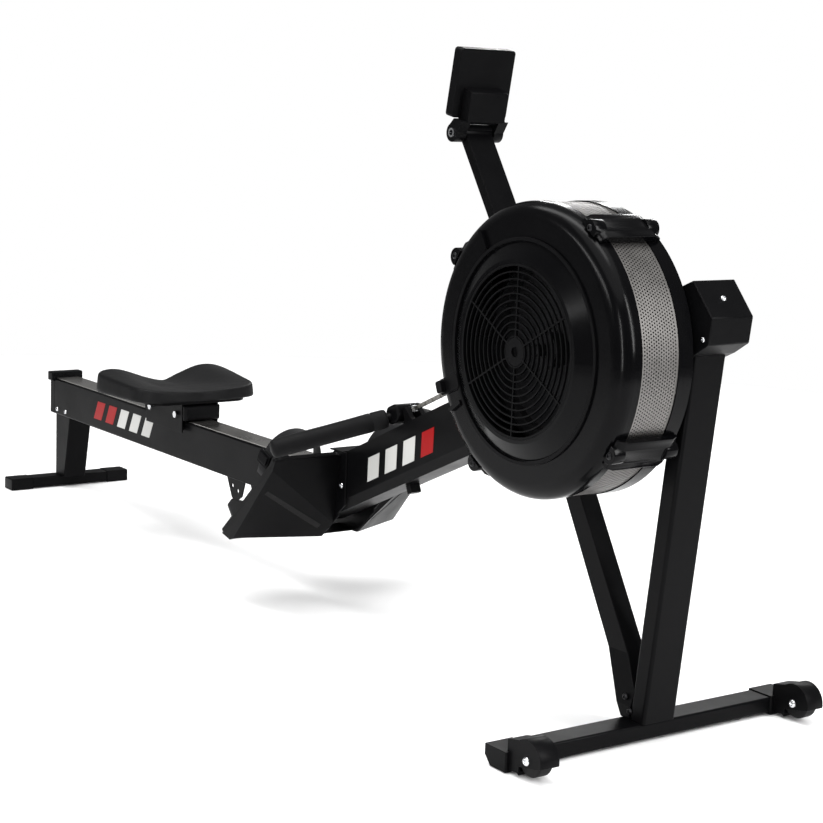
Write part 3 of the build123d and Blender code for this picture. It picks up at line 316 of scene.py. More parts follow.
def closed(bm, smooth=True, merge=1e-6):
    """A mesh from bm, doubles merged and faces turned outwards."""
    bmesh.ops.remove_doubles(bm, verts=bm.verts, dist=merge)
    bmesh.ops.recalc_face_normals(bm, faces=bm.faces)
    for face in bm.faces:
        face.smooth = smooth
    mesh = bpy.data.meshes.new("mesh")
    bm.to_mesh(mesh)
    bm.free()
    return mesh


def baked(holder):
    """The plain mesh that a helper object's modifiers give; the helper is removed."""
    bpy.context.view_layer.update()
    graph = bpy.context.evaluated_depsgraph_get()
    mesh = bpy.data.meshes.new_from_object(holder.evaluated_get(graph))
    bpy.data.objects.remove(holder)
    return mesh


def helper(mesh):
    """A short-lived object that carries a mesh while modifiers or a tree work on it."""
    holder = bpy.data.objects.new("helper", mesh)
    scene.collection.objects.link(holder)
    return holder


def node_group(name, sockets):
    """A geometry tree with named inputs; returns it with its input and output nodes."""
    tree = bpy.data.node_groups.new(name, "GeometryNodeTree")
    tree.interface.new_socket("Geometry", in_out="INPUT", socket_type="NodeSocketGeometry")
    tree.interface.new_socket("Geometry", in_out="OUTPUT", socket_type="NodeSocketGeometry")
    for label, kind in sockets:
        tree.interface.new_socket(label, in_out="INPUT", socket_type=kind)
    return tree, tree.nodes.new("NodeGroupInput"), tree.nodes.new("NodeGroupOutput")


def grown(tree, base, values):
    """The plain mesh that a geometry tree makes from a base mesh and its input values."""
    holder = helper(base)
    modifier = holder.modifiers.new("tree", "NODES")
    modifier.node_group = tree
    for item in tree.interface.items_tree:
        if item.in_out == "INPUT" and item.name in values:
            modifier[item.identifier] = values[item.name]
    return baked(holder)


def strip_between(bm, loops, ends=True):
    """Joins rings of equal length into a tube of quads, with its two ends closed."""
    rings = [[bm.verts.new(p) for p in ring] for ring in loops]
    count = len(rings[0])
    for low, high in zip(rings, rings[1:]):
        for i in range(count):
            j = (i + 1) % count
            bm.faces.new((low[i], low[j], high[j], high[i]))
    if ends:
        bm.faces.new(rings[0][::-1])
        bm.faces.new(rings[-1])


def rounded_edges(name, width_mm):
    """A CAD node gets its sharp edges broken as paint or a mould leaves them."""
    node = cad[name]
    weld = node.modifiers.new("weld", "WELD")
    weld.merge_threshold = 1e-5
    flat = node.modifiers.new("flat", "DECIMATE")
    flat.decimate_type, flat.angle_limit = "DISSOLVE", 1.5 * DEG
    bevel = node.modifiers.new("bevel", "BEVEL")
    bevel.width, bevel.segments = width_mm * MM, 2
    bevel.limit_method, bevel.angle_limit = "ANGLE", 35 * DEG


for name, width in (("front_leg", 1.5), ("rear_strut", 1.5), ("front_crossbar", 1.5),
                    ("seat_rail", 1.2), ("main_beam", 1.2), ("rear_leg", 1.2),
                    ("rear_foot_bar", 1.2), ("rail_end_stop", 2.0), ("rear_foot_caps", 2.0),
                    ("beam_front_cap", 2.5), ("casing_clamps", 2.5), ("monitor_housing", 2.0),
                    ("monitor_back_box", 3.0), ("monitor_arm", 1.2), ("arm_bracket", 1.0),
                    ("seat_carriage", 1.0), ("foot_shrouds", 1.5), ("front_end_caps", 1.5),
                    ("foot_saddle", 1.0), ("rail_hook_bracket", 1.0)):
    rounded_edges(name, width)

# ---------------------------------------------------------------- perforated band of the casing
HOLE_PITCH = 5.4                    # drawn coarse, so that the holes show
HOLE_SHARE = 0.29                   # a hole's radius, as a share of the pitch
SHEET = 0.8                         # thickness of the perforated sheet
ROWS = 14
around = round(2 * math.pi * (CASE_R - 2) / HOLE_PITCH)
pitch = 2 * math.pi * (CASE_R - 2) / around


def hexagon(bm, radius, height):
    return [bm.verts.new((radius * math.sin(k * math.pi / 3) * MM,
                          radius * math.cos(k * math.pi / 3) * MM, height * MM)) for k in range(6)]


bm = bmesh.new()                    # one hexagonal cell of the sheet, with its hole
for height in (0, SHEET):
    ring_out = hexagon(bm, pitch / math.sqrt(3), height)
    ring_in = hexagon(bm, pitch * HOLE_SHARE, height)
    for k in range(6):
        bm.faces.new((ring_out[k], ring_out[(k + 1) % 6], ring_in[(k + 1) % 6], ring_in[k]))
    if height:
        for k in range(6):
            bm.faces.new((low_in[k], low_in[(k + 1) % 6], ring_in[(k + 1) % 6], ring_in[k]))
    low_in = ring_in
cell = helper(closed(bm, smooth=False))

tree, given, result = node_group("punched band", [
    ("Around", "NodeSocketInt"), ("Across", "NodeSocketInt"), ("Pitch", "NodeSocketFloat"),
    ("Radius", "NodeSocketFloat"), ("Middle", "NodeSocketFloat"), ("Cell", "NodeSocketObject"),
    ("Finish", "NodeSocketMaterial")])
index = add(tree, "GeometryNodeInputIndex").outputs[0]
count_in, step_in, radius_in = (given.outputs[label] for label in ("Around", "Pitch", "Radius"))
row = add(tree, "ShaderNodeMath", {0: index, 1: count_in}, operation="DIVIDE").outputs[0]
row = add(tree, "ShaderNodeMath", {0: row}, operation="FLOOR").outputs[0]
column = add(tree, "ShaderNodeMath", {0: index, 1: count_in}, operation="MODULO").outputs[0]
odd = add(tree, "ShaderNodeMath", {0: row, 1: 2.0}, operation="MODULO").outputs[0]
shift = add(tree, "ShaderNodeMath", {0: odd, 1: 0.5, 2: column}, operation="MULTIPLY_ADD").outputs[0]
x = add(tree, "ShaderNodeMath", {0: shift, 1: step_in}, operation="MULTIPLY").outputs[0]
last = add(tree, "ShaderNodeMath", {0: given.outputs["Across"], 1: 1.0}, operation="SUBTRACT").outputs[0]
half = add(tree, "ShaderNodeMath", {0: last, 1: 2.0}, operation="DIVIDE").outputs[0]
row = add(tree, "ShaderNodeMath", {0: row, 1: half}, operation="SUBTRACT").outputs[0]
step = add(tree, "ShaderNodeMath", {0: step_in, 1: math.sqrt(3) / 2}, operation="MULTIPLY").outputs[0]
y = add(tree, "ShaderNodeMath", {0: row, 1: step}, operation="MULTIPLY").outputs[0]
total = add(tree, "ShaderNodeMath", {0: count_in, 1: given.outputs["Across"]},
            operation="MULTIPLY").outputs[0]
spots = add(tree, "GeometryNodePoints",
            {"Count": total, "Position": add(tree, "ShaderNodeCombineXYZ", {0: x, 1: y}).outputs[0]})
tile = add(tree, "GeometryNodeObjectInfo", {"Object": given.outputs["Cell"]}).outputs["Geometry"]
laid = add(tree, "GeometryNodeInstanceOnPoints", {"Points": spots.outputs[0], "Instance": tile})
real = add(tree, "GeometryNodeRealizeInstances", {"Geometry": laid.outputs[0]}).outputs[0]
here = add(tree, "ShaderNodeSeparateXYZ", {0: add(tree, "GeometryNodeInputPosition").outputs[0]})
turned = add(tree, "ShaderNodeMath", {0: here.outputs[0], 1: radius_in}, operation="DIVIDE").outputs[0]
far = add(tree, "ShaderNodeMath", {0: here.outputs[2], 1: radius_in}, operation="ADD").outputs[0]
cosine = add(tree, "ShaderNodeMath", {0: turned}, operation="COSINE").outputs[0]
sine = add(tree, "ShaderNodeMath", {0: turned}, operation="SINE").outputs[0]
wrapped_y = add(tree, "ShaderNodeMath", {0: here.outputs[1], 1: given.outputs["Middle"]},
                operation="ADD").outputs[0]
wrapped = add(tree, "ShaderNodeCombineXYZ", {
    0: add(tree, "ShaderNodeMath", {0: far, 1: cosine}, operation="MULTIPLY").outputs[0],
    1: wrapped_y,
    2: add(tree, "ShaderNodeMath", {0: far, 1: sine}, operation="MULTIPLY").outputs[0]}).outputs[0]
placed = add(tree, "GeometryNodeSetPosition", {"Geometry": real, "Position": wrapped}).outputs[0]
merged = add(tree, "GeometryNodeMergeByDistance", {"Geometry": placed, "Distance": 2e-5}).outputs[0]
dressed = add(tree, "GeometryNodeSetMaterial", {"Geometry": merged, "Material": given.outputs["Finish"]})
tree.links.new(dressed.outputs[0], result.inputs[0])
band = grown(tree, bpy.data.meshes.new("seed"), {
    "Around": around, "Across": ROWS, "Pitch": pitch * MM, "Radius": (CASE_R - 2.8) * MM,
    "Middle": sum(BAND) / 2 * MM, "Cell": cell, "Finish": plated_sheet})
bpy.data.objects.remove(cell)
axle = at(AXLE[0], 0, AXLE[1])
band.transform(Matrix.Translation(axle))
bm = bmesh.new()
bm.from_mesh(band)
for low in (BAND[0] + 0.2, BAND[1] - 4.2):           # plain border, 4 mm wide, along each side
    rings = []
    for r, y_mm in ((CASE_R - 3, low), (CASE_R - 1.8, low), (CASE_R - 1.8, low + 4),
                    (CASE_R - 3, low + 4)):
        rings.append([axle + Vector((r * math.cos(k * math.pi / 60) * MM, y_mm * MM,
                                     r * math.sin(k * math.pi / 60) * MM)) for k in range(120)])
    strip_between(bm, rings + rings[:1], ends=False)
bmesh.ops.recalc_face_normals(bm, faces=bm.faces)
bm.to_mesh(band)
bm.free()
piece("perforated_band", band, plated_sheet, "frame", "mesh_steel", "casing_mesh_band")

bm = bmesh.new()                    # woven dust screen that lines the band
rings = []
for r, y_mm in ((CASE_R - 5.2, BAND[0] - 1), (CASE_R - 4.4, BAND[0] - 1), (CASE_R - 4.4, BAND[1] + 1),
                (CASE_R - 5.2, BAND[1] + 1)):
    rings.append([axle + Vector((r * math.cos(k * math.pi / 72), y_mm, r * math.sin(k * math.pi / 72))) * MM
                  for k in range(144)])
strip_between(bm, rings + rings[:1], ends=False)
piece("dust_screen", closed(bm), webbing, "frame", "strap_web")

# ---------------------------------------------------------------- button-head screws
def islands(mesh):
    """The vertex groups of a mesh's separate solids."""
    bm = bmesh.new()
    bm.from_mesh(mesh)
    bmesh.ops.remove_doubles(bm, verts=bm.verts, dist=1e-5)
    seen_verts, found = set(), []
    for first in bm.verts:
        if first in seen_verts:
            continue
        seen_verts.add(first)
        stack, group = [first], []
        while stack:
            vert = stack.pop()
            group.append(vert)
            for edge in vert.link_edges:
                other = edge.other_vert(vert)
                if other not in seen_verts:
                    seen_verts.add(other)
                    stack.append(other)
        found.append(group)
    return bm, found


source, groups = islands(cad["frame_bolts"].data)
LONG_BOLT, HEAD_HIGH, HEAD_R, SHAFT_R = 12 * MM, 4.5 * MM, 7.0 * MM, 3.6 * MM
heads, shafts = [], []
for group in groups:
    areas = {}
    for face in dict.fromkeys(f for v in group for f in v.link_faces):
        key = tuple(round(c, 2) for c in face.normal)
        areas[key] = areas.get(key, 0) + face.calc_area()
    base = max(areas, key=areas.get)
    out = -Vector(base).normalized()
    middle = sum((v.co for v in group), Vector()) / len(group)
    reach = [(v.co - middle).dot(out) for v in group]
    foot = middle + out * min(reach)
    radius = max(((v.co - foot) - out * (v.co - foot).dot(out)).length for v in group)
    length = max(reach) - min(reach)
    if length < LONG_BOLT:
        heads.append((foot, out, radius, length))
    else:
        for end, way in ((min(reach), -1), (max(reach), 1)):
            heads.append((middle + out * (end - way * HEAD_HIGH), out * way, HEAD_R, HEAD_HIGH))
        shafts.append((foot, out, length))
source.free()

bm = bmesh.new()                    # one head of radius 1 and height 1, with a hexagon socket
profile = [(1.0, 0.0), (1.0, 0.25), (0.93, 0.52), (0.76, 0.8), (0.58, 0.96), (0.5, 1.0)]
sides = 24
rings = [[Vector((r * math.cos(k * math.tau / sides), r * math.sin(k * math.tau / sides), z))
          for k in range(sides)] for r, z in profile]
for r, z in ((0.47, 0.98), (0.47, 0.3)):
    ring = []
    for k in range(sides):
        a = k * math.tau / sides
        corner = math.cos(math.pi / 6) / math.cos((a % (math.pi / 3)) - math.pi / 6)
        ring.append(Vector((r * corner * math.cos(a), r * corner * math.sin(a), z)))
    rings.append(ring)
strip_between(bm, rings)
head = helper(closed(bm, smooth=False))


def is_bright(spot):
    """Zinc screws everywhere but on the casing's clamps and the foot of the stand."""
    from_axle = math.hypot(spot.x - at(AXLE[0], 0, 0).x, spot.z - AXLE[1] * MM)
    on_clamp = spot.y < -55 * MM and from_axle < (CASE_R + 25) * MM
    on_stand = spot.x > 0.9 and 0.03 < spot.z < 0.3 and abs(spot.y) < 0.06
    return not (on_clamp or on_stand)


tree, given, result = node_group("screws", [("Head", "NodeSocketObject"), ("Finish", "NodeSocketMaterial")])
turn_in = add(tree, "GeometryNodeInputNamedAttribute", {"Name": "turn"}, data_type="FLOAT_VECTOR")
size_in = add(tree, "GeometryNodeInputNamedAttribute", {"Name": "size"}, data_type="FLOAT_VECTOR")
shape = add(tree, "GeometryNodeObjectInfo", {"Object": given.outputs["Head"]}).outputs["Geometry"]
laid = add(tree, "GeometryNodeInstanceOnPoints",
           {"Points": given.outputs[0], "Instance": shape, "Rotation": turn_in.outputs[0],
            "Scale": size_in.outputs[0]}).outputs[0]
real = add(tree, "GeometryNodeRealizeInstances", {"Geometry": laid}).outputs[0]
dressed = add(tree, "GeometryNodeSetMaterial", {"Geometry": real, "Material": given.outputs["Finish"]})
tree.links.new(dressed.outputs[0], result.inputs[0])
for name, finish_used, bright in (("frame_screws", zinc, True), ("casing_screws", black_oxide, False)):
    spots = bpy.data.meshes.new("spots")
    chosen = [h for h in heads if is_bright(h[0]) == bright]
    spots.from_pydata([h[0] for h in chosen], [], [])
    turns = spots.attributes.new("turn", "FLOAT_VECTOR", "POINT")
    sizes = spots.attributes.new("size", "FLOAT_VECTOR", "POINT")
    for i, (foot, out, radius, height) in enumerate(chosen):
        turns.data[i].vector = out.to_track_quat("Z", "Y").to_euler()
        sizes.data[i].vector = (radius, radius, height)
    screws = grown(tree, spots, {"Head": head, "Finish": finish_used})
    piece(name, screws, finish_used, "frame", "zinc_bolt", "frame_bolts")
bpy.data.objects.remove(head)

bm = bmesh.new()                    # shafts of the transport wheels' long bolts
for foot, out, length in shafts:
    first = out.orthogonal().normalized()
    second = out.cross(first)
    around = [(first * math.cos(k * math.tau / 20) + second * math.sin(k * math.tau / 20)) * SHAFT_R
              for k in range(20)]
    strip_between(bm, [[foot + out * depth + spoke for spoke in around]
                       for depth in (HEAD_HIGH * 0.5, length - HEAD_HIGH * 0.5)])
piece("wheel_bolt_shafts", closed(bm, smooth=False), zinc, "frame", "zinc_bolt", "frame_bolts")

# ---------------------------------------------------------------- chain
pitch_r = CHAIN_PITCH / (2 * math.sin(math.pi / SPROCKET_TEETH))
axle_t = (-(AXLE[0] - BEAM_TOP[0]) * math.sin(BEAM_ANGLE)
          + (AXLE[1] - BEAM_TOP[1]) * math.cos(BEAM_ANGLE))
axle_s = ((AXLE[0] - BEAM_TOP[0]) * math.cos(BEAM_ANGLE)
          + (AXLE[1] - BEAM_TOP[1]) * math.sin(BEAM_ANGLE))
chain_t, lower_t = axle_t + pitch_r, axle_t - pitch_r
handle_s = beam_s(HANDLE_MID[0]) + chain_t * math.tan(BEAM_ANGLE)
return_s = beam_s(255)              # where the chain turns back inside the beam


def link_mesh(plate_y):
    """Two waisted side plates and two rollers, lying along X between two pins."""
    bm = bmesh.new()
    waist = []
    for k in range(16):
        a = k * math.tau / 16
        side = CHAIN_PITCH / 2 if math.cos(a) >= 0 else -CHAIN_PITCH / 2
        pull = 1.0 if abs(math.cos(a)) > 0.3 else 0.7
        waist.append((side * pull + 4.1 * math.cos(a), 4.1 * math.sin(a) * (0.8 if pull < 1 else 1)))
    for sign in (-1, 1):
        rings = [[Vector((x, sign * y, z)) * MM for x, z in waist] for y in (plate_y, plate_y + 0.9)]
        strip_between(bm, rings)
    for x in (-CHAIN_PITCH / 2, CHAIN_PITCH / 2):
        rings = [[Vector((x + 3.0 * math.cos(k * math.tau / 8), y, 3.0 * math.sin(k * math.tau / 8))) * MM
                  for k in range(8)] for y in (-plate_y - 1.3, plate_y + 1.3)]
        strip_between(bm, rings)
    return helper(closed(bm, smooth=False, merge=1e-7))


def chain_run(points, name, body):
    """Links along a polyline of pins one pitch apart."""
    spots = bpy.data.meshes.new("pins")
    middles = [(a + b) / 2 for a, b in zip(points, points[1:])]
    spots.from_pydata(middles, [], [])
    turns = spots.attributes.new("turn", "FLOAT_VECTOR", "POINT")
    for i, (a, b) in enumerate(zip(points, points[1:])):
        turns.data[i].vector = (0, -math.atan2((b - a).z, (b - a).x), 0)
    tree, given, result = node_group("roller chain", [
        ("Inner", "NodeSocketObject"), ("Outer", "NodeSocketObject"), ("Finish", "NodeSocketMaterial")])
    odd = add(tree, "ShaderNodeMath", {0: add(tree, "GeometryNodeInputIndex").outputs[0], 1: 2.0},
              operation="MODULO").outputs[0]
    even = add(tree, "ShaderNodeMath", {0: 1.0, 1: odd}, operation="SUBTRACT").outputs[0]
    turn_in = add(tree, "GeometryNodeInputNamedAttribute", {"Name": "turn"}, data_type="FLOAT_VECTOR")
    join = add(tree, "GeometryNodeJoinGeometry")
    for label, chosen in (("Inner", odd), ("Outer", even)):
        shape = add(tree, "GeometryNodeObjectInfo", {"Object": given.outputs[label]}).outputs["Geometry"]
        laid = add(tree, "GeometryNodeInstanceOnPoints",
                   {"Points": given.outputs[0], "Selection": chosen, "Instance": shape,
                    "Rotation": turn_in.outputs[0]}).outputs[0]
        tree.links.new(laid, join.inputs[0])
    real = add(tree, "GeometryNodeRealizeInstances", {"Geometry": join.outputs[0]}).outputs[0]
    dressed = add(tree, "GeometryNodeSetMaterial", {"Geometry": real, "Material": given.outputs["Finish"]})
    tree.links.new(dressed.outputs[0], result.inputs[0])
    inner, outer = link_mesh(1.2), link_mesh(2.1)
    mesh = grown(tree, spots, {"Inner": inner, "Outer": outer, "Finish": nickel})
    bpy.data.objects.remove(inner)
    bpy.data.objects.remove(outer)
    return piece(name, mesh, nickel, body, "chain_steel", "drive_chain")


RETURN_R = 24.0                     # radius of the chain's turn inside the beam
pull_from, pull_to = handle_s + 31, axle_s - 6
count = round((pull_to - pull_from) / CHAIN_PITCH)
outer_run = [on_beam(pull_from + k * CHAIN_PITCH, chain_t) for k in range(count + 1)]
pull = chain_run(outer_run, "chain_to_handle", None)
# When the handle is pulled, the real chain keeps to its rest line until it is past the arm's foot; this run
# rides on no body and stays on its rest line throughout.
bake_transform(pull)
wrap = []                           # half way round the sprocket, down the beam and back up
for k in range(SPROCKET_TEETH // 2 + 1):
    a = BEAM_ANGLE + math.pi / 2 - k * math.tau / SPROCKET_TEETH
    wrap.append(at(AXLE[0] + pitch_r * math.cos(a), 0, AXLE[1] + pitch_r * math.sin(a)))
count = int((axle_s - return_s) / CHAIN_PITCH)
wrap += [on_beam(axle_s - k * CHAIN_PITCH, lower_t) for k in range(1, count + 1)]
for k in range(1, 6):
    a = math.pi / 2 + k * math.pi / 6
    wrap.append(on_beam(return_s + RETURN_R * math.cos(a),
                        lower_t + RETURN_R + RETURN_R * math.sin(a)))
wrap += [on_beam(return_s + k * CHAIN_PITCH, lower_t + 2 * RETURN_R) for k in range(12)]
chain_run(wrap, "chain_return", "frame")

# ---------------------------------------------------------------- handle grips
HANDLE_Z = on_beam(handle_s, chain_t).z / MM
# Distance along the sleeve and radius: from its inner end, then back from its outer end.
GRIP_INNER = [(0.0, 10.4), (0.0, 15.0), (1.5, 17.0), (6.0, 18.0), (27.0, 18.2), (28.5, 17.2),
              (30.0, 17.2), (31.5, 18.3), (60, 18.0), (110, 17.8), (160, 18.0)]
GRIP_OUTER = [(-14.0, 18.0), (-7, 17.2), (-3.0, 14.8), (-0.8, 10.0), (0.0, 4.0)]


def grip(side, name):
    """Foam sleeve round one arm of the handle: a lathed skin with a moulded collar by the yoke."""
    tip = Vector((HANDLE_TIP.x, side * HANDLE_TIP.y, HANDLE_TIP.z))
    length = tip.length * (1 - GRIP_FROM)
    along = tip.normalized()
    across = along.orthogonal().normalized()
    third = along.cross(across)
    start = at(HANDLE_MID[0], 0, HANDLE_Z) + tip * GRIP_FROM * MM
    bm = bmesh.new()
    loops = []
    for d, r in GRIP_INNER + [(length + back, radius) for back, radius in GRIP_OUTER]:
        ring = []
        for k in range(40):
            a = k * math.tau / 40
            p = start + (along * d + (across * math.cos(a) + third * math.sin(a)) * r) * MM
            swell = noise.noise(p * 45) * 0.25 * MM
            ring.append(p + (across * math.cos(a) + third * math.sin(a)) * swell)
        loops.append(ring)
    strip_between(bm, loops)
    return piece(name, closed(bm), foam, "handle", "foam_grip", "hand_grips")


for side, name in ((-1, "grip_right"), (1, "grip_left")):
    grip(side, name)

# ---------------------------------------------------------------- foot straps
LEAN = math.radians(69.5)
STRAP_U, STRAP_HALF, STRAP_TOP = 196.0, 61.0, 85.0   # place up the board, half width, height
WEB, WEB_THICK = 28.0, 2.2
ARCH_V = 28.03                      # height where the arch over the foot springs from


def strap(side, name):
    """One webbing strap: up from the board on one side, over the foot and down on the other."""
    root = on_board(STRAP_U, 14, side * BOARD_MID)
    rise = Vector((math.cos(LEAN), 0, math.sin(LEAN)))
    wide = Vector((math.sin(LEAN), 0, -math.cos(LEAN)))
    bend = STRAP_TOP - 1 - ARCH_V
    path = [(-STRAP_HALF, -6), (-STRAP_HALF, 6), (-STRAP_HALF + 2, 20)]
    for k in range(25):
        a = math.radians(165 - 150 * k / 24)
        path.append((bend * math.cos(a), ARCH_V + bend * math.sin(a)))
    path += [(STRAP_HALF - 2, 20), (STRAP_HALF, 6), (STRAP_HALF, -6)]
    bm = bmesh.new()
    loops = []
    for i, (y, v) in enumerate(path):
        before, after = path[max(i - 1, 0)], path[min(i + 1, len(path) - 1)]
        ahead = Vector((after[0] - before[0], after[1] - before[1])).normalized()
        out = Vector((-ahead.y, ahead.x))
        ring = []
        for w, h in ((-0.5, -0.35), (-0.47, -0.5), (0.47, -0.5), (0.5, -0.35), (0.5, 0.35), (0.47, 0.5),
                     (0.2, 0.62), (-0.2, 0.62), (-0.47, 0.5), (-0.5, 0.35)):
            p = Vector((y, v)) + out * h * WEB_THICK
            ring.append(root + (Vector((0, 1, 0)) * p.x + rise * p.y + wide * w * WEB) * MM)
        loops.append(ring)
    strip_between(bm, loops)
    piece(name, closed(bm), webbing, "frame", "strap_web", "foot_straps")
    # cam buckle on the outer side: a frame with a window and a lever across it
    bm = bmesh.new()
    out_y = side * (STRAP_HALF + 1.5)
    for low_v, high_v, half_w, thick, lift in ((16, 22, 19, 4.5, 0), (38, 44, 19, 4.5, 0),
                                               (22, 38, 3, 4.5, 0), (24, 40, 15.5, 3.0, 5)):
        for w_mid in ((-16, 16) if half_w == 3 else (0,)):
            loops = []
            for v in (low_v, high_v):
                tuck = (v - 10) * 0.13 * side
                loops.append([root + (Vector((0, 1, 0)) * (out_y - tuck + side * d) + rise * v
                                      + wide * (w_mid + w)) * MM
                              for w, d in ((-half_w, lift), (half_w, lift), (half_w, lift + thick),
                                           (-half_w, lift + thick))])
            strip_between(bm, loops)
    clasp = helper(closed(bm, smooth=False, merge=1e-7))
    bevel = clasp.modifiers.new("bevel", "BEVEL")
    bevel.width, bevel.segments = 1.0 * MM, 2
    piece(name + "_buckle", baked(clasp), satin_abs, "frame", "abs_black")


strap(-1, "strap_right")
strap(1, "strap_left")

# ---------------------------------------------------------------- seat
SEAT_BASE, SEAT_TOP = 318.6, 341.0   # underside of the pad, and its top where nothing shapes it
SEAT_EDGE = [(100, 0), (102, 30), (101, 62), (94, 104), (82, 130), (60, 145), (10, 151), (-50, 157),
             (-94, 159), (-112, 151), (-118, 132), (-118, 60), (-110, 26), (-98, 0), (-110, -26),
             (-118, -60), (-118, -132), (-112, -151), (-94, -159), (-50, -157), (10, -151),
             (60, -145), (82, -130), (94, -104), (101, -62), (102, -30)]


def rounded_path(points, per):
    """Points on a closed Catmull-Rom curve through these."""
    out = []
    n = len(points)
    for i in range(n):
        p = [Vector(points[(i + k) % n]) for k in (-1, 0, 1, 2)]
        for j in range(per):
            t = j / per
            out.append(0.5 * ((2 * p[1]) + (p[2] - p[0]) * t
                              + (2 * p[0] - 5 * p[1] + 4 * p[2] - p[3]) * t * t
                              + (3 * p[1] - p[0] - 3 * p[2] + p[3]) * t * t * t))
    return out


def seat_top(x, y):
    """Height of the seat's top: two scoops, a trough between them, raised sides and back."""
    u, v = x / 110, y / 155
    back = min(1.0, max(0.0, (1 - u) / 2))
    lobes = math.exp(-(abs(v) - 0.72) ** 2 / 0.16)
    lift = 8 * abs(v) ** 2 + 22 * back ** 1.3 * lobes
    scoop = 6 * math.exp(-((u + 0.1) ** 2 / 0.3 + (abs(v) - 0.42) ** 2 / 0.06))
    trough = 4 * math.exp(-v * v / 0.05) * (0.3 + 0.7 * back)
    return SEAT_TOP + lift - scoop - trough


def seat_pad():
    """The firm seat, as rings from the middle of its top out over the edge and in underneath."""
    edge = rounded_path(SEAT_EDGE, 5)
    bm = bmesh.new()
    loops = []
    for share in (0.08, 0.2, 0.32, 0.44, 0.55, 0.66, 0.76, 0.85, 0.92, 0.965):
        loops.append([(p * share, seat_top(*(p * share))) for p in edge])
    for share, drop in ((0.988, 1.2), (1.0, 4.5), (1.004, 9.0)):
        loops.append([(p * share, seat_top(*p) - drop) for p in edge])
    for share, part in ((1.012, 0.5), (1.02, 0.12)):
        loops.append([(p * share, SEAT_BASE + part * (seat_top(*p) - SEAT_BASE - 9)) for p in edge])
    loops += [[(p * 1.012, SEAT_BASE) for p in edge], [(p * 0.97, SEAT_BASE) for p in edge],
              [(p * 0.5, SEAT_BASE) for p in edge]]
    strip_between(bm, [[at(SEAT_X + p.x, p.y, z) for p, z in loop] for loop in loops])
    pad = helper(closed(bm))
    smooth = pad.modifiers.new("smooth", "SUBSURF")
    smooth.levels = smooth.render_levels = 1
    mesh = baked(pad)
    for vert in mesh.vertices:
        if vert.co.z > (SEAT_BASE + 6) * MM:
            vert.co += vert.normal * noise.noise(vert.co * 70) * 0.25 * MM
    return piece("seat_pad", mesh, seat_skin, "seat", "seat_foam", "seat_cushion")


seat_pad()


# ---------------------------------------------------------------- small mouldings
def moulded(name, rings, material, body, slot, width_mm, segments=3):
    """A closed moulding from rings of points, its edges rounded."""
    bm = bmesh.new()
    strip_between(bm, rings)
    shape = helper(closed(bm, smooth=False, merge=1e-7))
    bevel = shape.modifiers.new("bevel", "BEVEL")
    bevel.width, bevel.segments = width_mm * MM, segments
    bevel.limit_method, bevel.angle_limit = "ANGLE", 30 * DEG
    return piece(name, baked(shape), material, body, slot)


for sign, tag in ((1, "front"), (-1, "rear")):       # wheel covers at both ends of the carriage
    face = SEAT_X + sign * 85.5
    rings = []
    for depth, inset in ((0, 0), (sign * 9, 0), (sign * 13, 4)):
        rings.append([at(face + depth, y, z) for y, z in (
            (-44 + inset, 275 + inset), (44 - inset, 275 + inset), (44 - inset, 308 - inset),
            (-44 + inset, 308 - inset))])
    moulded(f"carriage_cover_{tag}", rings, satin_abs, "seat", "abs_black", 2.0)

rings = []
for y in (-27.5, 27.5):             # saddle that hugs the tilt barrel
    ring = [at(PIVOT[0] + 15.5 * math.cos(a), y, PIVOT[1] + 15.5 * math.sin(a))
            for a in [math.radians(20 + 12 * k) for k in range(12)]]
    ring += [at(PIVOT[0] + 12.2 * math.cos(a), y, PIVOT[1] + 12.2 * math.sin(a))
             for a in [math.radians(152 - 12 * k) for k in range(12)]]
    rings.append(ring)
moulded("tilt_saddle", rings, satin_abs, "monitor", "abs_black", 0.5, 1)

# Groove on each foot shroud, drawn as a dull strip that follows the twisted panel. Each strip edge
# runs straight between two points, and drops from there onto the panel.
shroud = cad["foot_shrouds"].data
panel = BVHTree.FromPolygons([v.co for v in shroud.vertices], [p.vertices for p in shroud.polygons])
GROOVE_EDGES = (((165.9, -60.2, 169.0), (160.3, -178.6, 244.1)),
                ((153.7, -61.4, 158.5), (151.5, -181.0, 236.5)))
GROOVE_STEPS, DROP = 10, 30 * MM
SUNK, PROUD = 0.8 * MM, 0.7 * MM    # how far the strip goes into the panel and stands out of it
outward = Vector((0.66, -0.42, -0.63)).normalized()
for mirror, tag in ((1, "right"), (-1, "left")):
    rings = []
    for k in range(GROOVE_STEPS + 1):
        corners = []
        for inner, outer in GROOVE_EDGES:
            over = at(*inner).lerp(at(*outer), k / GROOVE_STEPS) + outward * DROP
            hit = panel.ray_cast(over, -outward, 0.1)[0]
            corners.append(hit or over - outward * DROP)
        ring = [corners[0] - outward * SUNK, corners[1] - outward * SUNK,
                corners[1] + outward * PROUD, corners[0] + outward * PROUD]
        rings.append([Vector((p.x, p.y * mirror, p.z)) for p in ring])
    moulded(f"shroud_groove_{tag}", rings, rubber, "frame", "abs_black", 0.4, 1)

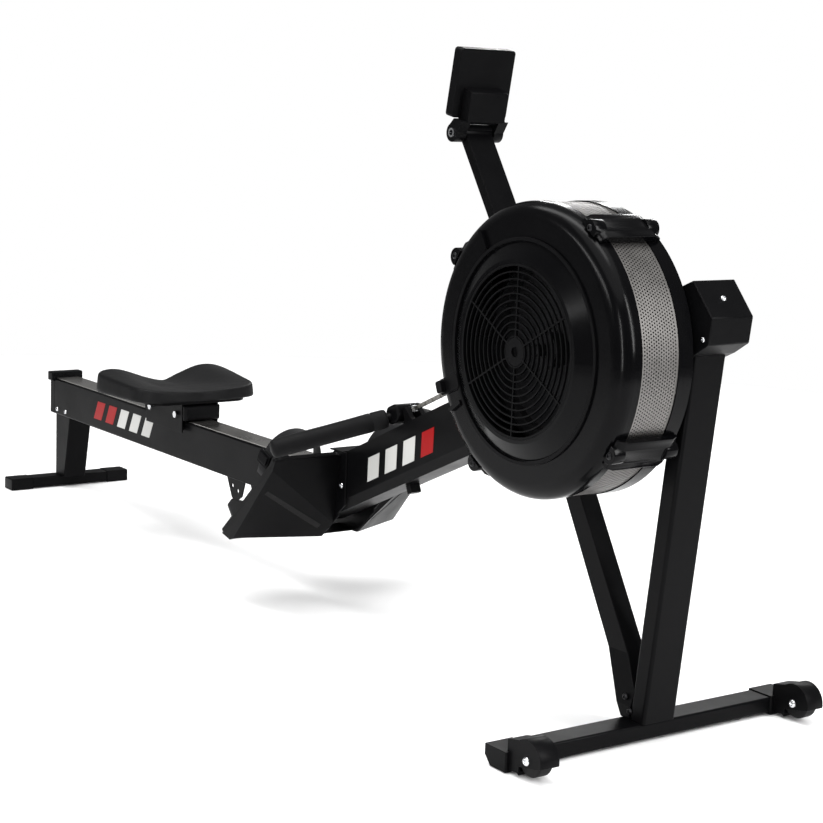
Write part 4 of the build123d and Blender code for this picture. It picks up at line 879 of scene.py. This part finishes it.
# ---------------------------------------------------------------- liquid crystal digits
# Where each segment lies across and up a digit, and whether it is flat.
SEGMENTS = {"a": (0, 2, 1), "b": (0.5, 1.5, 0), "c": (0.5, 0.5, 0), "d": (0, 0, 1),
            "e": (-0.5, 0.5, 0), "f": (-0.5, 1.5, 0), "g": (0, 1, 1)}
DIGITS = {"0": "abcdef", "1": "bc", "2": "abged"}
DIGIT_ROWS = (("0:00", 15, 10), ("2:00", 8, -10), ("10", 8, -26))    # text, height, place up the face
low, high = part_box("monitor_screen")
face_mid = (Vector(low) + Vector(high)) / 2
lean = math.radians(10.6)           # these two axes lean the other way from the screen's own face
face_up = Vector((-math.sin(lean), 0, math.cos(lean)))
face_out = Vector((-math.cos(lean), 0, -math.sin(lean)))
half_thick = 0.5 * ((high[0] - low[0]) - (high[2] - low[2]) * math.tan(lean)) * math.cos(lean)
bm = bmesh.new()
for text, height, row_up in DIGIT_ROWS:
    step = height * 0.72
    for i, sign in enumerate(text):
        along = Vector((0, -(i - (len(text) - 1) / 2) * step, 0))
        middle = face_mid + face_up * row_up * MM + along * MM
        for key in DIGITS.get(sign, ""):
            across_at, up_at, flat_bar = SEGMENTS[key]
            centre = (middle + Vector((0, -across_at * height * 0.46, 0)) * MM
                      + face_up * (up_at - 1) * height * 0.5 * MM + face_out * (half_thick + 0.1 * MM))
            wide, tall = (height * 0.32, height * 0.09) if flat_bar else (height * 0.09, height * 0.36)
            wide, tall = wide * MM / (1 if flat_bar else 2), tall * MM / (2 if flat_bar else 1.6)
            ring = [centre + Vector((0, -a * wide * 0.6, 0)) + face_up * b * tall
                    for a, b in ((-1, -1), (1, -1), (1, 1), (-1, 1))]
            strip_between(bm, [ring, [p + face_out * 0.15 * MM for p in ring]])
piece("screen_digits", closed(bm, smooth=False, merge=1e-8), segment, "monitor", "screen_glass")


# ---------------------------------------------------------------- cut-vinyl stripes
def stripe(name, corners, material):
    """A thin slanted stripe; corners go round it on the face it lies on."""
    bm = bmesh.new()
    normal = (corners[1] - corners[0]).cross(corners[2] - corners[0]).normalized()
    strip_between(bm, [corners, [c + normal * 0.25 * MM for c in corners]])
    piece(name, closed(bm, smooth=False), material, "frame", "abs_gloss")


STRIPE_STEP = 62                    # from one stripe to the next
CLEAR = 0.02                        # gap between a stripe and the tube under it
for side, tag in ((-1, "right"), (1, "left")):
    lift = side * (RAIL_HALF + CLEAR)
    for k in range(5):
        x0 = -900 + STRIPE_STEP * k
        quad = [at(x0, lift, 206), at(x0 + 40, lift, 206), at(x0 + 62, lift, 250),
                at(x0 + 22, lift, 250)]
        stripe(f"rail_stripe_{tag}_{k}", quad[::-side], red_vinyl if k < 2 else white_vinyl)
    lift = side * (BEAM_HALF + CLEAR)
    for k in range(4):
        s0 = beam_s(262) + STRIPE_STEP * k
        quad = [on_beam(s0, -72, lift), on_beam(s0 + 40, -72, lift), on_beam(s0 + 60, -30, lift),
                on_beam(s0 + 20, -30, lift)]
        stripe(f"beam_stripe_{tag}_{k}", quad[::-side], red_vinyl if k == 3 else white_vinyl)

# ---------------------------------------------------------------- floor
FLOOR_R = 3.4                       # metres; beyond it the lights fall off and it would look grey
ground = bmesh.new()
bmesh.ops.create_circle(ground, cap_ends=True, segments=96, radius=FLOOR_R)
floor_mesh = bpy.data.meshes.new("floor")
ground.to_mesh(floor_mesh)
ground.free()
floor = bpy.data.objects.new("floor", floor_mesh)
scene.collection.objects.link(floor)
floor.location.z = -0.0005
floor_mesh.materials.append(pale_floor)
